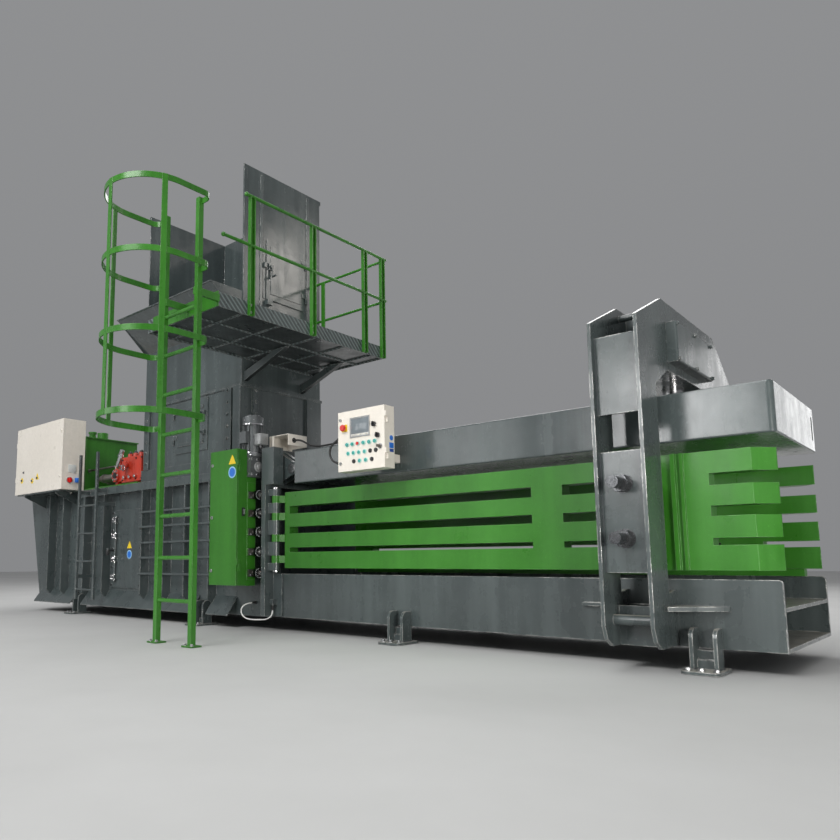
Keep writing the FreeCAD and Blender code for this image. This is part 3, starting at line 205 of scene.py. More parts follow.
MATS = {}
PEEL = 0.0006                               # height of the sprayed paint's orange peel, m
RIB_PITCH = 0.050                           # the deck plate's ribs repeat after this much on each axis, m
RIBS_FROM = (2.454, 2.456)                  # they fade in between these heights, below the toe boards, m
RUST = (0.16, 0.075, 0.03)


def paint(name, light, dark, rough, wear_and_highlight, coat, dust_and_light=0.25, wear_highlight_tint=(0.50, 0.50, 0.48), dust_light_tint=(0.32, 0.30, 0.27),
          edge=0.006, streak=0.3, wave=6.0, painted_under_shade=0.0, tread=False, spec=0.5):
    """Sprayed machine paint: slow tone shifts, streaks, specks, orange peel, dust on level faces, worn edges,
    painted shade on faces that look down.

    light and dark are its two tones, rough the range of its roughness. wear_and_highlight, dust_and_light and
    streak say how strong those are, edge how wide the worn edges, wave how uneven the sheet. The worn edges
    are partly painted edge highlights, and the dust on level faces is partly painted light.
    painted_under_shade darkens the faces that look down as painted shade, and tread adds the ribs of the deck
    plate.
    """
    m, t, b = material(name)
    n = Net(t)
    tone = n.remap(n.noise(0.9, 6, 0.6), 0.32, 0.68)
    fine = n.remap(n.noise(26, 5, 0.6), 0.3, 0.7)
    runs = n.remap(n.noise(7, 5, 0.6, (1, 1, 0.07)), 0.42, 0.72)
    specks = n.remap(n.noise(75, 3, 0.7), 0.62, 0.70)
    col = n.mix(tone, dark, light)
    col = n.mix(n.math("MULTIPLY", fine, 0.25), col, tuple(c * 0.70 for c in dark))
    col = n.mix(n.math("MULTIPLY", runs, streak), col, tuple(min(1, c * 1.5 + 0.01) for c in light))
    col = n.mix(n.math("MULTIPLY", specks, 0.3), col, tuple(min(1, c * 1.7 + 0.03) for c in light))
    geo = n.node("ShaderNodeNewGeometry")
    sep = n.node("ShaderNodeSeparateXYZ")
    n.put(sep.inputs[0], geo.outputs["Normal"])
    # faces that look down are darkened toward near black: painted shade under things
    if painted_under_shade:
        below = n.remap(sep.outputs["Z"], -0.5, -0.9)
        col = n.mix(n.math("MULTIPLY", below, painted_under_shade), col, tuple(c * 0.2 for c in dark))
    # level faces turn toward a pale dust tint: real dust, and where it is strong also painted light on the
    # level faces
    flat = n.remap(sep.outputs["Z"], 0.75, 1.0)
    dust_light_mask = n.math("MULTIPLY", flat, n.remap(n.noise(3.5, 6, 0.65), 0.3, 0.75, 0.35, 1.0))
    dust_light_mask = n.math("MULTIPLY", dust_light_mask, dust_and_light, clamp=True)
    col = n.mix(dust_light_mask, col, dust_light_tint)
    # worn edges turn to a paler tint: partly real paint wear, partly painted highlights along the edges
    scratch = n.remap(n.noise(9, 8, 0.7), 0.44, 0.56)
    worn_and_highlit = n.math("MULTIPLY", n.math("MULTIPLY", n.edge(edge), scratch), wear_and_highlight, clamp=True)
    col = n.mix(worn_and_highlit, col, wear_highlight_tint)
    n.put(b.inputs["Base Color"], col)
    r = n.remap(n.noise(6, 5, 0.6), 0.3, 0.7, rough[0], rough[1])
    r = n.math("ADD", r, n.math("MULTIPLY", n.math("SUBTRACT", runs, 0.4), 0.16))
    r = n.math("ADD", r, n.math("MULTIPLY", dust_light_mask, 0.35), clamp=True)
    n.put(b.inputs["Roughness"], r)
    n.put(b.inputs["Metallic"], n.math("MULTIPLY", worn_and_highlit, 0.7))
    b.inputs["Specular IOR Level"].default_value = spec
    b.inputs["Coat Weight"].default_value = coat
    b.inputs["Coat Roughness"].default_value = 0.14
    soft = n.node("ShaderNodeBevel", samples=4)
    soft.inputs["Radius"].default_value = 0.004
    h = n.math("MULTIPLY", n.noise(170, 3, 0.5), 0.6)
    h = n.math("ADD", h, n.math("MULTIPLY", n.noise(1.6, 3, 0.5), wave))
    normal = n.bump(h, PEEL, soft.outputs[0])
    if tread:
        turn = math.tau / RIB_PITCH
        xyz = n.node("ShaderNodeSeparateXYZ")
        n.put(xyz.inputs[0], n.coords((turn,) * 3))
        slope = n.math("ADD", xyz.outputs["Y"], xyz.outputs["Z"])
        slope = n.math("ADD", slope, xyz.outputs["X"])
        bars = n.remap(n.math("SINE", slope), 0.1, 0.7)
        bars = n.math("MULTIPLY", bars, n.remap(below, 0.0, 1.0, 1.0, 0.05))
        bars = n.math("MULTIPLY", bars, n.remap(xyz.outputs["Z"], *(turn * z for z in RIBS_FROM)))
        normal = n.bump(bars, 0.003, normal)
        col = n.mix(n.math("MULTIPLY", bars, 0.6), col, tuple(min(1, c * 4.0) for c in light))
        n.put(b.inputs["Base Color"], col)
    n.put(b.inputs["Normal"], normal)
    MATS[name] = m


def steel(name, light, dark, rough, rust=0.0, metallic=1.0, bump=0.0004):
    """Bare or plated steel with fine grain, stains and a little rust."""
    m, t, b = material(name)
    n = Net(t)
    g = n.noise(60, 6, 0.7)
    big = n.remap(n.noise(4, 5, 0.6), 0.3, 0.7)
    col = n.mix(big, dark, light)
    col = n.mix(n.math("MULTIPLY", n.remap(g, 0.35, 0.65), 0.4), col, tuple(c * 0.6 for c in dark))
    if rust:
        spots = n.remap(n.noise(7, 8, 0.7), 0.5, 0.66)
        col = n.mix(n.math("MULTIPLY", spots, rust), col, RUST)
    n.put(b.inputs["Base Color"], col)
    b.inputs["Metallic"].default_value = metallic
    n.put(b.inputs["Roughness"], n.remap(g, 0.3, 0.7, rough[0], rough[1]))
    n.put(b.inputs["Normal"], n.bump(g, bump))
    MATS[name] = m


def plastic(name, color, rough, grain=400, bump=0.0002, coat=0.0, vary=0.15):
    """Moulded plastic, rubber or sticker with fine grain and slight colour drift."""
    m, t, b = material(name)
    n = Net(t)
    v = n.remap(n.noise(30, 4, 0.6), 0.3, 0.7)
    n.put(b.inputs["Base Color"], n.mix(n.math("MULTIPLY", v, vary), color, tuple(c * 0.6 for c in color)))
    n.put(b.inputs["Roughness"], n.remap(n.noise(18, 3, 0.5), 0.3, 0.7, rough * 0.85, min(1, rough * 1.2)))
    b.inputs["Coat Weight"].default_value = coat
    n.put(b.inputs["Normal"], n.bump(n.noise(grain, 2, 0.5), bump))
    MATS[name] = m


GREY_L, GREY_D = (0.070, 0.088, 0.088), (0.042, 0.054, 0.055)
GREEN_L, GREEN_D = (0.037, 0.188, 0.016), (0.022, 0.130, 0.009)
# grey_paint and grey_tread carry painted shade on the faces that look down
paint("grey_paint", GREY_L, GREY_D, rough=(0.24, 0.42), wear_and_highlight=0.9, coat=0.35, painted_under_shade=0.5)
# plates: a darker copy of the grey, partly painted shade for their shaded sides; their strong pale dust is
# partly painted light on the bed's floor, their broad pale edges partly painted edge highlights
paint("grey_plate", tuple(c * 0.88 for c in GREY_L), tuple(c * 0.8 for c in GREY_D), rough=(0.20, 0.40),
      wear_and_highlight=1.4, edge=0.010, coat=0.45, dust_and_light=0.85, dust_light_tint=(0.46, 0.43, 0.37), streak=0.4)
paint("grey_panel", GREY_L, GREY_D, rough=(0.16, 0.32), wear_and_highlight=0.8, coat=0.5, wave=14, streak=0.4)
paint("grey_tread", tuple(c * 0.8 for c in GREY_L), GREY_D, rough=(0.28, 0.45), wear_and_highlight=0.9, coat=0.3,
      painted_under_shade=0.8, tread=True)
# the green's pale green worn edges are partly painted highlights on the rims of the fingers
paint("green_paint", GREEN_L, GREEN_D, rough=(0.30, 0.46), wear_and_highlight=0.5, coat=0.10, spec=0.35, dust_and_light=0.15,
      wear_highlight_tint=(0.20, 0.34, 0.17), edge=0.008)
paint("green_tube", tuple(c * 1.1 for c in GREEN_L), GREEN_D, rough=(0.24, 0.38), wear_and_highlight=0.5, coat=0.2,
      spec=0.4, dust_and_light=0.1, wear_highlight_tint=(0.24, 0.36, 0.20))
paint("cream_paint", (0.84, 0.79, 0.71), (0.76, 0.71, 0.63), rough=(0.3, 0.45), wear_and_highlight=0.12, coat=0.2, dust_and_light=0.1,
      dust_light_tint=(0.5, 0.48, 0.44), wear_highlight_tint=(0.6, 0.58, 0.52), streak=0.05)
paint("red_paint", (0.55, 0.045, 0.02), (0.36, 0.025, 0.012), rough=(0.25, 0.4), wear_and_highlight=0.5, coat=0.3)
steel("worn_steel", (0.40, 0.39, 0.37), (0.20, 0.19, 0.18), rust=0.35, rough=(0.3, 0.55))
steel("bright_pin", (0.62, 0.62, 0.63), (0.48, 0.48, 0.49), rough=(0.12, 0.25))
steel("zinc", (0.55, 0.56, 0.56), (0.40, 0.41, 0.42), rough=(0.28, 0.42))
steel("cast_grey", (0.20, 0.215, 0.22), (0.12, 0.13, 0.135), rough=(0.35, 0.55), metallic=0.6)
plastic("black_rubber", (0.018, 0.018, 0.018), 0.55)
plastic("white_cable", (0.72, 0.72, 0.70), 0.4)
plastic("black_plastic", (0.015, 0.015, 0.016), 0.3, coat=0.2)
plastic("red_plastic", (0.62, 0.018, 0.015), 0.28, coat=0.3)
plastic("teal_plastic", (0.03, 0.34, 0.30), 0.3, coat=0.3)
plastic("yellow_sticker", (0.85, 0.60, 0.02), 0.35)
plastic("blue_sticker", (0.02, 0.16, 0.62), 0.35)
plastic("white_sticker", (0.80, 0.80, 0.80), 0.35)
plastic("screen_glass", (0.20, 0.23, 0.25), 0.12, grain=900, bump=0.00002, coat=0.6, vary=0.4)
plastic("pale_blue_sticker", (0.30, 0.55, 0.80), 0.35)
plastic("navy_sticker", (0.015, 0.06, 0.30), 0.35)
plastic("pale_key", (0.62, 0.64, 0.62), 0.4)
plastic("bezel_grey", (0.30, 0.31, 0.31), 0.35)
plastic("mint_bezel", (0.45, 0.72, 0.66), 0.3, coat=0.2)
steel("chrome", (0.78, 0.78, 0.79), (0.62, 0.62, 0.63), rough=(0.08, 0.2), bump=0.0001)
steel("black_steel", (0.045, 0.047, 0.05), (0.022, 0.023, 0.025), rough=(0.3, 0.5), metallic=0.5)
steel("cast_light", (0.46, 0.47, 0.47), (0.34, 0.35, 0.35), rough=(0.35, 0.5), metallic=0.5)
steel("dark_metal", (0.16, 0.165, 0.17), (0.07, 0.073, 0.078), rough=(0.16, 0.36), metallic=0.75)
steel("weld", (0.105, 0.118, 0.124), (0.055, 0.062, 0.068), rough=(0.25, 0.42), metallic=0.2)
steel("roller_steel", (0.115, 0.115, 0.12), (0.045, 0.045, 0.05), rough=(0.22, 0.45), rust=0.12)

slots = {s["node"]: s["material_slot"] for s in frame["record"]["subparts"]}
# nodes that look other than the rest of their slot
LOOKS = {"grey_panel": ("hopper", "feed_shaft", "access_door", "inspection_door", "top_beam"),
         "grey_plate": ("channel_bed", "portal", "feet"),
         "grey_tread": ("platform",),
         "dark_metal": ("squeeze_cylinders",),
         "green_tube": ("guard_rail", "ladder", "ladder_cage"),
         "cast_grey": ("gear_motor", "pump_motor"),
         "roller_steel": tuple("guide_roller_%d" % (i + 1) for i in range(len(ROWS)))}
OWN_LOOK = {node: key for key, nodes in LOOKS.items() for node in nodes}
for name, o in frame["nodes"].items():
    key = OWN_LOOK.get(name, slots.get(name, "grey_paint"))
    o.data.materials.clear()
    o.data.materials.append(MATS[key])

panel_cord = tube_curve("panel_cord", PANEL_CORD, 8)
panel_cord.data.materials.append(MATS["black_rubber"])
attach(panel_cord, "beam")
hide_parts("panel_cable")
loop_cord = tube_curve("loop_cord", LOOP_CORD, 6)
loop_cord.data.materials.append(MATS["white_cable"])
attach(loop_cord, "frame")
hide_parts("loop_cable")

# ---------------------------------------------------------------- detail pieces (own frame, mm)
MX, MY, MZ = Vector((1, 0, 0)), Vector((0, 1, 0)), Vector((0, 0, 1))


class Piece:
    """One detail piece: several turned, bent or bevelled parts with their own materials, riding on a body."""
    def __init__(self, name, body, slot):
        self.name, self.body, self.slot = name, body, slot
        self.verts, self.faces, self.mats, self.index = [], [], [], []

    def take(self, verts, faces, mat):
        """Adds one closed mesh in this material."""
        if mat not in self.mats:
            self.mats.append(mat)
        start = len(self.verts)
        self.verts += [Vector(v) for v in verts]
        self.faces += [[start + i for i in f] for f in faces]
        self.index += [self.mats.index(mat)] * len(faces)

    def block(self, x0, x1, y0, y1, z0, z1, mat, bevel):
        """Plate or box with rounded edges."""
        bm = bmesh.new()
        bmesh.ops.create_cube(bm, size=1)
        for v in bm.verts:
            v.co = Vector(((x0 + x1) / 2 + v.co.x * (x1 - x0), (y0 + y1) / 2 + v.co.y * (y1 - y0),
                           (z0 + z1) / 2 + v.co.z * (z1 - z0)))
        b = min(bevel, 0.45 * min(x1 - x0, y1 - y0, z1 - z0))
        bmesh.ops.bevel(bm, geom=list(bm.edges), offset=b, segments=2, affect="EDGES", profile=0.5)
        bm.verts.index_update()
        self.take([v.co for v in bm.verts], [[v.index for v in f.verts] for f in bm.faces], mat)
        bm.free()

    def turn(self, at, axis, profile, mat, n, closed=False, shape=None):
        """Turned part: profile lists (distance along the axis, radius); shape(angle) scales the outline."""
        q = Vector(axis).to_track_quat("Z", "Y")
        verts, faces, k = [], [], len(profile)
        for d, r in profile:
            for i in range(n):
                a = math.tau * (i + 0.5) / n
                s = shape(a) if shape else 1.0
                verts.append(Vector(at) + q @ Vector((r * s * math.cos(a), r * s * math.sin(a), d)))
        for j in range(k if closed else k - 1):
            a, b = j * n, ((j + 1) % k) * n
            faces += [(a + i, a + (i + 1) % n, b + (i + 1) % n, b + i) for i in range(n)]
        if not closed:
            faces += [tuple(reversed(range(n))), tuple(range((k - 1) * n, k * n))]
        self.take(verts, faces, mat)

    def ring(self, at, axis, r0, r1, h, mat, n=28, shape=None):
        """Flat ring with a chamfered outer edge."""
        c = min(1.0, h * 0.3)
        self.turn(at, axis, [(0, r0), (0, r1), (h - c, r1), (h, r1 - c), (h, r0)], mat, n, True, shape)

    def bolt(self, x, y, z, axis, af, h, mat="zinc", washer="zinc"):
        """Hex head, af across its flats and h high, with a chamfered top on its washer."""
        a = Vector(axis)
        self.turn((x, y, z), a, [(0, af * 0.82), (2.6, af * 0.82), (3.2, af * 0.78)], washer, 20)
        r = af / math.sqrt(3)
        self.turn(Vector((x, y, z)) + a * 3.2, a, [(0, r), (h * 0.82, r), (h, r * 0.86)], mat, 6)

    def prism(self, pts, normal, t, mat):
        """Thin plate of any outline: pts are points on its back face."""
        n = len(pts)
        off = Vector(normal) * t
        low = [Vector(p) for p in pts]
        mid = sum(low, Vector()) / n
        top = [v + off + (mid - v).normalized() * min(0.5, t * 0.4) for v in low]
        faces = [tuple(range(n)), tuple(n + i for i in reversed(range(n)))]
        faces += [((i + 1) % n, i, n + i, n + (i + 1) % n) for i in range(n)]
        self.take(low + top, faces, mat)

    def pipe(self, points, r, mat):
        """Rigid bent pipe on a smooth line."""
        o = tube_curve("bend", points, r, 8)
        me = bpy.data.meshes.new_from_object(o)
        back = Vector((SX, SY, 0))
        self.take([v.co * 1000 - back for v in me.vertices], [list(f.vertices) for f in me.polygons], mat)
        bpy.data.meshes.remove(me)
        bpy.data.objects.remove(o)

    def weld(self, p, q, r):
        """Fillet weld bead with its ripples, lying along the corner from p to q."""
        p, q = Vector(p), Vector(q)
        run = (q - p).length
        n = max(6, int(run / (r * 1.1)))    # rings along the bead, each with m points
        rot = (q - p).to_track_quat("Z", "Y")
        verts, faces, m = [], [], 6
        for j in range(n + 1):
            k = r * (0.82 + 0.22 * abs(math.sin(j * 1.57)) + random.uniform(-0.06, 0.06))
            if j in (0, n):
                k *= 0.5
            for i in range(m):
                a = math.tau * i / m
                verts.append(p + (q - p) * (j / n) + rot @ Vector((k * math.cos(a), k * math.sin(a), 0)))
        for j in range(n):
            a, b = j * m, (j + 1) * m
            faces += [(a + i, a + (i + 1) % m, b + (i + 1) % m, b + i) for i in range(m)]
        faces += [tuple(reversed(range(m))), tuple(range(n * m, n * m + m))]
        self.take(verts, faces, "weld")

    def done(self):
        """Makes the object, rides it on its body and returns it."""
        me = bpy.data.meshes.new(self.name)
        me.from_pydata([W(*v) for v in self.verts], [], self.faces)
        for key in self.mats:
            me.materials.append(MATS[key])
        for f, i in zip(me.polygons, self.index):
            f.material_index = i
            f.use_smooth = True
        me.update()
        bm = bmesh.new()
        bm.from_mesh(me)
        bmesh.ops.recalc_face_normals(bm, faces=bm.faces)
        bm.to_mesh(me)
        bm.free()
        me.set_sharp_from_angle(angle=math.radians(32))
        o = bpy.data.objects.new(self.name, me)
        bpy.context.scene.collection.objects.link(o)
        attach(o, self.body)
        return o


def square(a):
    """Shape of turn() that makes the outline square."""
    return 1 / max(abs(math.cos(a)), abs(math.sin(a)))


def near(d):
    """y of a plane that lies d outside the channel's side on the control side."""
    return -HALF - d


def rounded(x, z, pts, r, y):
    """Outline in a plane of constant y with its corners cut round."""
    out, n = [], len(pts)
    for i in range(n):
        a, b, c = Vector(pts[i - 1]), Vector(pts[i]), Vector(pts[(i + 1) % n])
        for k in range(4):
            t = k / 3
            u, v = b + (a - b).normalized() * r, b + (c - b).normalized() * r
            out.append(u * (1 - t) ** 2 + b * 2 * t * (1 - t) + v * t * t)
    return [(x + p.x, y, z + p.y) for p in out]


def triangle(piece, x, y, z, side, mat):
    """Sticker in the shape of an upright triangle with rounded corners, round its middle."""
    h = side * 0.866                        # height of an equal-sided triangle
    corners = [(-side / 2, -h / 3), (side / 2, -h / 3), (0, h * 2 / 3)]
    piece.prism(rounded(x, z, corners, side * 0.08, y), -MY, 1.0, mat)


# plain colour fields on the tying unit and the hatch, the hatch's clamps, knob and screws
TAG_X, CLAMP_X = -1784, -2042
p = Piece("tying_labels", "wire_door", "green_paint")
triangle(p, 252, near(300), 1420, 96, "yellow_sticker")
p.turn((252, near(300), 1322), -MY, [(0, 50), (0.8, 50), (1.0, 49)], "pale_blue_sticker", 40)
p.turn((252, near(301), 1322), -MY, [(0, 38), (0.5, 38)], "blue_sticker", 36)
p.done()
p = Piece("hatch_fittings", "hatch", "grey_paint")
triangle(p, TAG_X, near(12), 742, 92, "yellow_sticker")
p.turn((TAG_X, near(12), 651), -MY, [(0, 46), (0.8, 46), (1.0, 45)], "pale_blue_sticker", 40)
p.turn((TAG_X, near(13), 651), -MY, [(0, 35), (0.5, 35)], "blue_sticker", 36)
for z in (412, 602, 852, 1022):
    for dx, dz in ((-16, -14), (16, -14), (-16, 14), (16, 14)):
        p.bolt(CLAMP_X + dx, near(50), z + dz, -MY, 22, 14, "chrome", "chrome")
    for dz in (-34, 24):
        p.turn((CLAMP_X, near(32), z + dz), MZ, [(0, 17), (10, 17), (12, 15)], "chrome", 24)
p.turn((CLAMP_X, near(116), 643), MZ,
       [(0, 15), (6, 17), (20, 18.5), (44, 18.5), (58, 17), (64, 12), (66, 6)], "black_plastic", 24)
p.block(CLAMP_X - 7, CLAMP_X + 7, near(112), near(30), 684, 706, "black_steel", 3)
for x in (HATCH_X[0] + 14, HATCH_X[1] - 14):
    for z in (330, 520, 715, 910, 1100):
        p.bolt(x, near(12), z, -MY, 19, 8, "black_steel", "zinc")
p.done()

p = Piece("housing_tag", "frame", "grey_paint")
p.block(-3592, -3498, near(9), near(5), 858, 942, "white_sticker", 1.5)
for x in (-3586, -3504):
    for z in (864, 936):
        p.turn((x, near(9), z), -MY, [(0, 3.2), (1.2, 2.6), (1.8, 1.2)], "zinc", 12)
p.done()

# control panel: screen, stop plate, bezels and caps
PX1, PY = 1897.0, near(300)                 # right side and front
TEAL, BLACK = "teal_plastic", "black_plastic"
CAPS = [(1563, 1343, TEAL), (1613, 1343, TEAL), (1664, 1343, TEAL), (1717, 1343, TEAL), (1768, 1343, BLACK),
        (1819, 1343, BLACK), (1615, 1282, BLACK), (1671, 1282, TEAL), (1727, 1282, TEAL), (1782, 1282, BLACK)]
PUSH_X, PUSH_Z = (1555, 1605, 1656, 1709, 1762, 1813), 1407
p = Piece("panel_face", "panel_front", "cream_paint")
p.block(1593, 1757, PY - 4.4, PY - 3, 1479, 1589, "screen_glass", 0.4)
p.block(1593, 1757, PY - 4.2, PY - 3, 1463, 1477, "pale_key", 0.4)
for i in range(6):
    p.block(1600 + 26 * i, 1620 + 26 * i, PY - 4.9, PY - 4.2, 1466, 1474, "cream_paint", 0.3)
for x0, x1, z0, z1 in ((1582, 1592, 1452, 1600), (1758, 1768, 1452, 1600),
                       (1592, 1758, 1452, 1462), (1592, 1758, 1590, 1600)):
    p.block(x0, x1, PY - 5.8, PY - 5, z0, z1, "bezel_grey", 0.3)
p.ring((1531, PY - 4, 1531), -MY, 9.6, 27, 1.4, "yellow_sticker", 40, square)
p.ring((1531, PY - 5.4, 1531), -MY, 9.6, 25, 0.8, "yellow_sticker", 40)
for x in PUSH_X:
    p.ring((x, PY, PUSH_Z), -MY, 9.8, 17.0, 5.6, "mint_bezel", 28)
for x, z, cap in CAPS:
    r, bezel = (17.0, "mint_bezel") if cap == TEAL else (15.6, BLACK)
    p.ring((x, PY, z), -MY, 12.0, r, 5.6, bezel)
    p.turn((x, PY, z), -MY, [(0, 11.9), (8.4, 11.9), (9.6, 10.6), (10.1, 7), (10.3, 2)], cap, 28)
for x, z in ((1807, 1528), (1840, 1446), (1858, 1366)):
    p.ring((x, PY, z), -MY, 9.8, 18.4, 5.2, "zinc", 28)
for x, z in ((1488, 1275), (1488, 1595)):
    p.turn((x, PY, z), -MY, [(0, 12.5), (2, 12.5), (7.6, 10.6), (8.4, 10)], "zinc", 28)
    p.block(x - 1.4, x + 1.4, PY - 9.2, PY - 8.2, z - 7, z + 7, "black_plastic", 0.4)
p.done()
p = Piece("panel_side_fields", "beam", "cream_paint")
p.turn((PX1, -814, 1428), MX, [(0, 19), (0.9, 19), (1.1, 18)], "blue_sticker", 32)
p.block(PX1, PX1 + 1.1, -838, -790, 1355, 1394, "blue_sticker", 0.4)
p.block(PX1, PX1 + 1.1, -836, -790, 1328, 1350, "navy_sticker", 0.4)
p.done()

# switch cabinet: lamps, door locks, socket, pale field, glands
CX0, CX1, CY0, CZ0 = -3997.0, -2795.0, near(300), 1400.0        # left, right, front, bottom
LAMPS = [(221, 269, None), (179, 171, "disc"), (459, 150, "disc"), (590, 175, "triangle")]
p = Piece("cabinet_lamps", "switch_door", "cream_paint")
for dx, dz, back in LAMPS:
    x, z = CX0 + dx, CZ0 + dz
    if back == "disc":
        p.ring((x, CY0 + 3, z), -MY, 12, 34, 2.0, "yellow_sticker", 36)
    if back == "triangle":
        triangle(p, x, CY0 + 3, z + 8, 96, "yellow_sticker")
    p.ring((x, CY0 + 3, z), -MY, 11.2, 16, 6, "zinc", 28)
    p.turn((x, CY0 + 3, z), -MY, [(0, 11.6), (9.6, 11.6), (13, 9.5), (14.5, 5), (15, 1)], "black_plastic", 28)
for z in (CZ0 + 150, CZ0 + 685):
    p.turn((CX1 - 45, CY0 + 3, z), -MY, [(0, 17), (2, 17), (7.4, 14.5), (8.2, 13.5)], "cream_paint", 28)
    p.block(CX1 - 47, CX1 - 43, CY0 - 6.4, CY0 - 5, z - 9, z + 9, "black_plastic", 0.6)
p.done()
p = Piece("cabinet_side", "frame", "cream_paint")
p.block(CX1 + 3, CX1 + 4.2, CY0 + 79, CY0 + 175, CZ0 + 196, CZ0 + 287, "pale_key", 0.5)
p.block(CX1, CX1 + 31, CY0 + 163, CY0 + 207, CZ0 + 83, CZ0 + 137, "blue_sticker", 5)
p.turn((CX1 + 31, CY0 + 185, CZ0 + 112), MX,
       [(0, 24), (14, 24), (18, 22), (20, 12), (20.4, 2)], "blue_sticker", 28)
p.ring((CX1, CY0 + 100, CZ0 + 108), MX, 31, 38, 4, "bezel_grey", 36)
for i in range(4):
    x, y = CX1 - 120 - 60 * i, CY0 + 190
    p.turn((x, y, CZ0 - 14), -MZ, [(0, 21), (10, 21), (11, 19)], "black_plastic", 6)
    p.turn((x, y, CZ0 - 32), -MZ, [(0, 17), (10, 17), (16, 11), (18, 10)], "black_plastic", 24)
p.done()

# tying unit: door latches, catch, roller brackets' bolts, rims of the guide rollers
ROLL_Y = near(122)                          # the rollers' common plane
p = Piece("tying_latches", "wire_door", "green_paint")
for z in (495, 947.5, 1400):
    p.turn((-14, near(300), z), -MY, [(0, 15), (3, 15), (5.4, 12.6), (6.2, 12.4)], "zinc", 28)
    p.block(-16, -12, near(307.2), near(306), z - 8, z + 8, "black_plastic", 0.5)
p.done()
p = Piece("tying_side", "frame", "green_paint")
p.block(320, 326, -838, -806, 952, 1024, "black_steel", 2.5)
p.block(326, 340, -829, -815, 966, 1010, "zinc", 3)
p.turn((340, -822, 1004), MX, [(0, 5), (10, 5), (12, 3)], "chrome", 14)
for z in ROWS:
    for dy, dz in ((-33, -19), (9, 19)):
        p.bolt(334, ROLL_Y + dy, z + dz, MX, 11, 6, "zinc", "zinc")
    p.turn((410, ROLL_Y, z), MX, [(0, 8), (3, 8), (4, 6)], "chrome", 18)
for x in (20, 150, 296):
    p.bolt(x, near(160), 1286, MZ, 19, 9, "black_steel", "zinc")
p.done()
for i, z in enumerate(ROWS):
    p = Piece("roller_rim_%d" % (i + 1), "roller_%d" % (i + 1), "worn_steel")
    for x, s in ((372, -1), (402, 1)):
        p.ring((x, ROLL_Y, z), s * MX, 33, 41.5, 1.2, "chrome", 40)
        p.ring((x, ROLL_Y, z), s * MX, 15, 21, 1.0, "black_steel", 30)
    p.turn((380.3, ROLL_Y, z), MX,
           [(0, 28.6), (2, 28.2), (6.5, 27.4), (11.4, 28.2), (13.4, 28.6)], "chrome", 40)
    p.done()

# gear motor: flanges, cover screws, terminal box
GX, GY = 277.0, near(94)                    # its axis
p = Piece("motor_fittings", "frame", "worn_steel")
p.ring((GX, GY, 1494), MZ, 93, 97.5, 10, "chrome", 48)
p.ring((GX, GY, 1744), MZ, 90.4, 92.5, 12, "chrome", 48)
p.ring((GX, GY, 1812), MZ, 70, 84, 5, "chrome", 48)
p.turn((GX, GY, 1828), MZ, [(0, 58), (6, 56), (12, 44), (15, 20), (15.5, 4)], "chrome", 36)
for i in range(6):
    a = math.tau * i / 6 + 0.4
    c, s = math.cos(a), math.sin(a)
    p.bolt(GX + 84 * c, GY + 84 * s, 1494, MZ, 15, 8, "chrome", "zinc")
    p.turn((GX + 90 * c, GY + 90 * s, 1785), (c, s, 0), [(0, 6), (3, 5.4), (4, 3)], "zinc", 14)
for dx in (-66, 66):
    for dy in (-80, 66):
        p.bolt(GX + dx, GY + dy, 1470, MZ, 17, 9, "chrome", "zinc")
p.block(GX + 70, GX + 150, GY - 52, GY + 40, 1560, 1660, "cast_light", 7)
p.block(GX + 150, GX + 156, GY - 50, GY + 38, 1562, 1658, "cast_light", 2.5)
for dy in (-42, 30):
    for z in (1570, 1650):
        p.turn((GX + 156, GY + dy, z), MX, [(0, 5), (2, 4.6), (3, 2.5)], "zinc", 12)
p.turn((GX + 112, GY - 6, 1560), -MZ, [(0, 14), (12, 14), (13, 12), (26, 11), (28, 9)], "black_plastic", 6)
for z in (1310, 1440):
    for dy in (-80, -20, 50):
        p.bolt(GX + 82, GY + dy, z, MX, 15, 8, "chrome", "zinc")
    for dx in (-60, 0, 60):
        p.bolt(GX + dx, GY - 96, z, -MY, 15, 8, "chrome", "zinc")
p.turn((GX + 82, GY - 10, 1376), MX,
       [(0, 44), (8, 44), (11, 41), (11.5, 24), (22, 22), (24, 18)], "cast_light", 36)
p.done()

# valve block: elbow with its unions, plugs, cartridge caps, flange bolts
p = Piece("manifold_fittings", "frame", "red_paint")
p.pipe([(-2040, -534, 1600), (-2040, -572, 1600), (-2040, -612, 1604),
        (-2012, -640, 1624), (-1968, -648, 1668), (-1936, -650, 1716)], 22, "chrome")
p.turn((-2040, -540, 1600), -MY, [(0, 38), (18, 38), (20, 35)], "chrome", 6)
p.turn((-2040, -566, 1600), -MY, [(0, 29), (20, 29), (24, 26)], "chrome", 28)
aim = (0.6, -0.05, 0.9)                     # the elbow's upper end
p.turn((-1944, -650, 1702), aim, [(0, 30), (24, 30), (26, 26), (46, 27), (48, 24)], "chrome", 6)
p.turn((-1925, -651, 1735), aim, [(0, 25), (42, 25), (44, 22)], "zinc", 28)
for i in range(6):
    a = math.tau * i / 6
    p.bolt(-2300 + 54 * math.cos(a), -500, 1542 + 54 * math.sin(a), -MY, 17, 9, "chrome", "zinc")
p.turn((-2300, -500, 1542), -MY, [(0, 36), (8, 36), (10, 33), (10.5, 8)], "black_steel", 30)
for x in (-2080, -1970, -1860):
    p.turn((x, -440, 1771), MZ, [(0, 22), (14, 22), (17, 19)], "black_steel", 24)
    p.turn((x, -440, 1788), MZ, [(0, 12), (8, 12), (9, 10)], "chrome", 6)
    p.turn((x, -524, 1500), -MY, [(0, 20), (6, 20), (7, 18)], "chrome", 6)
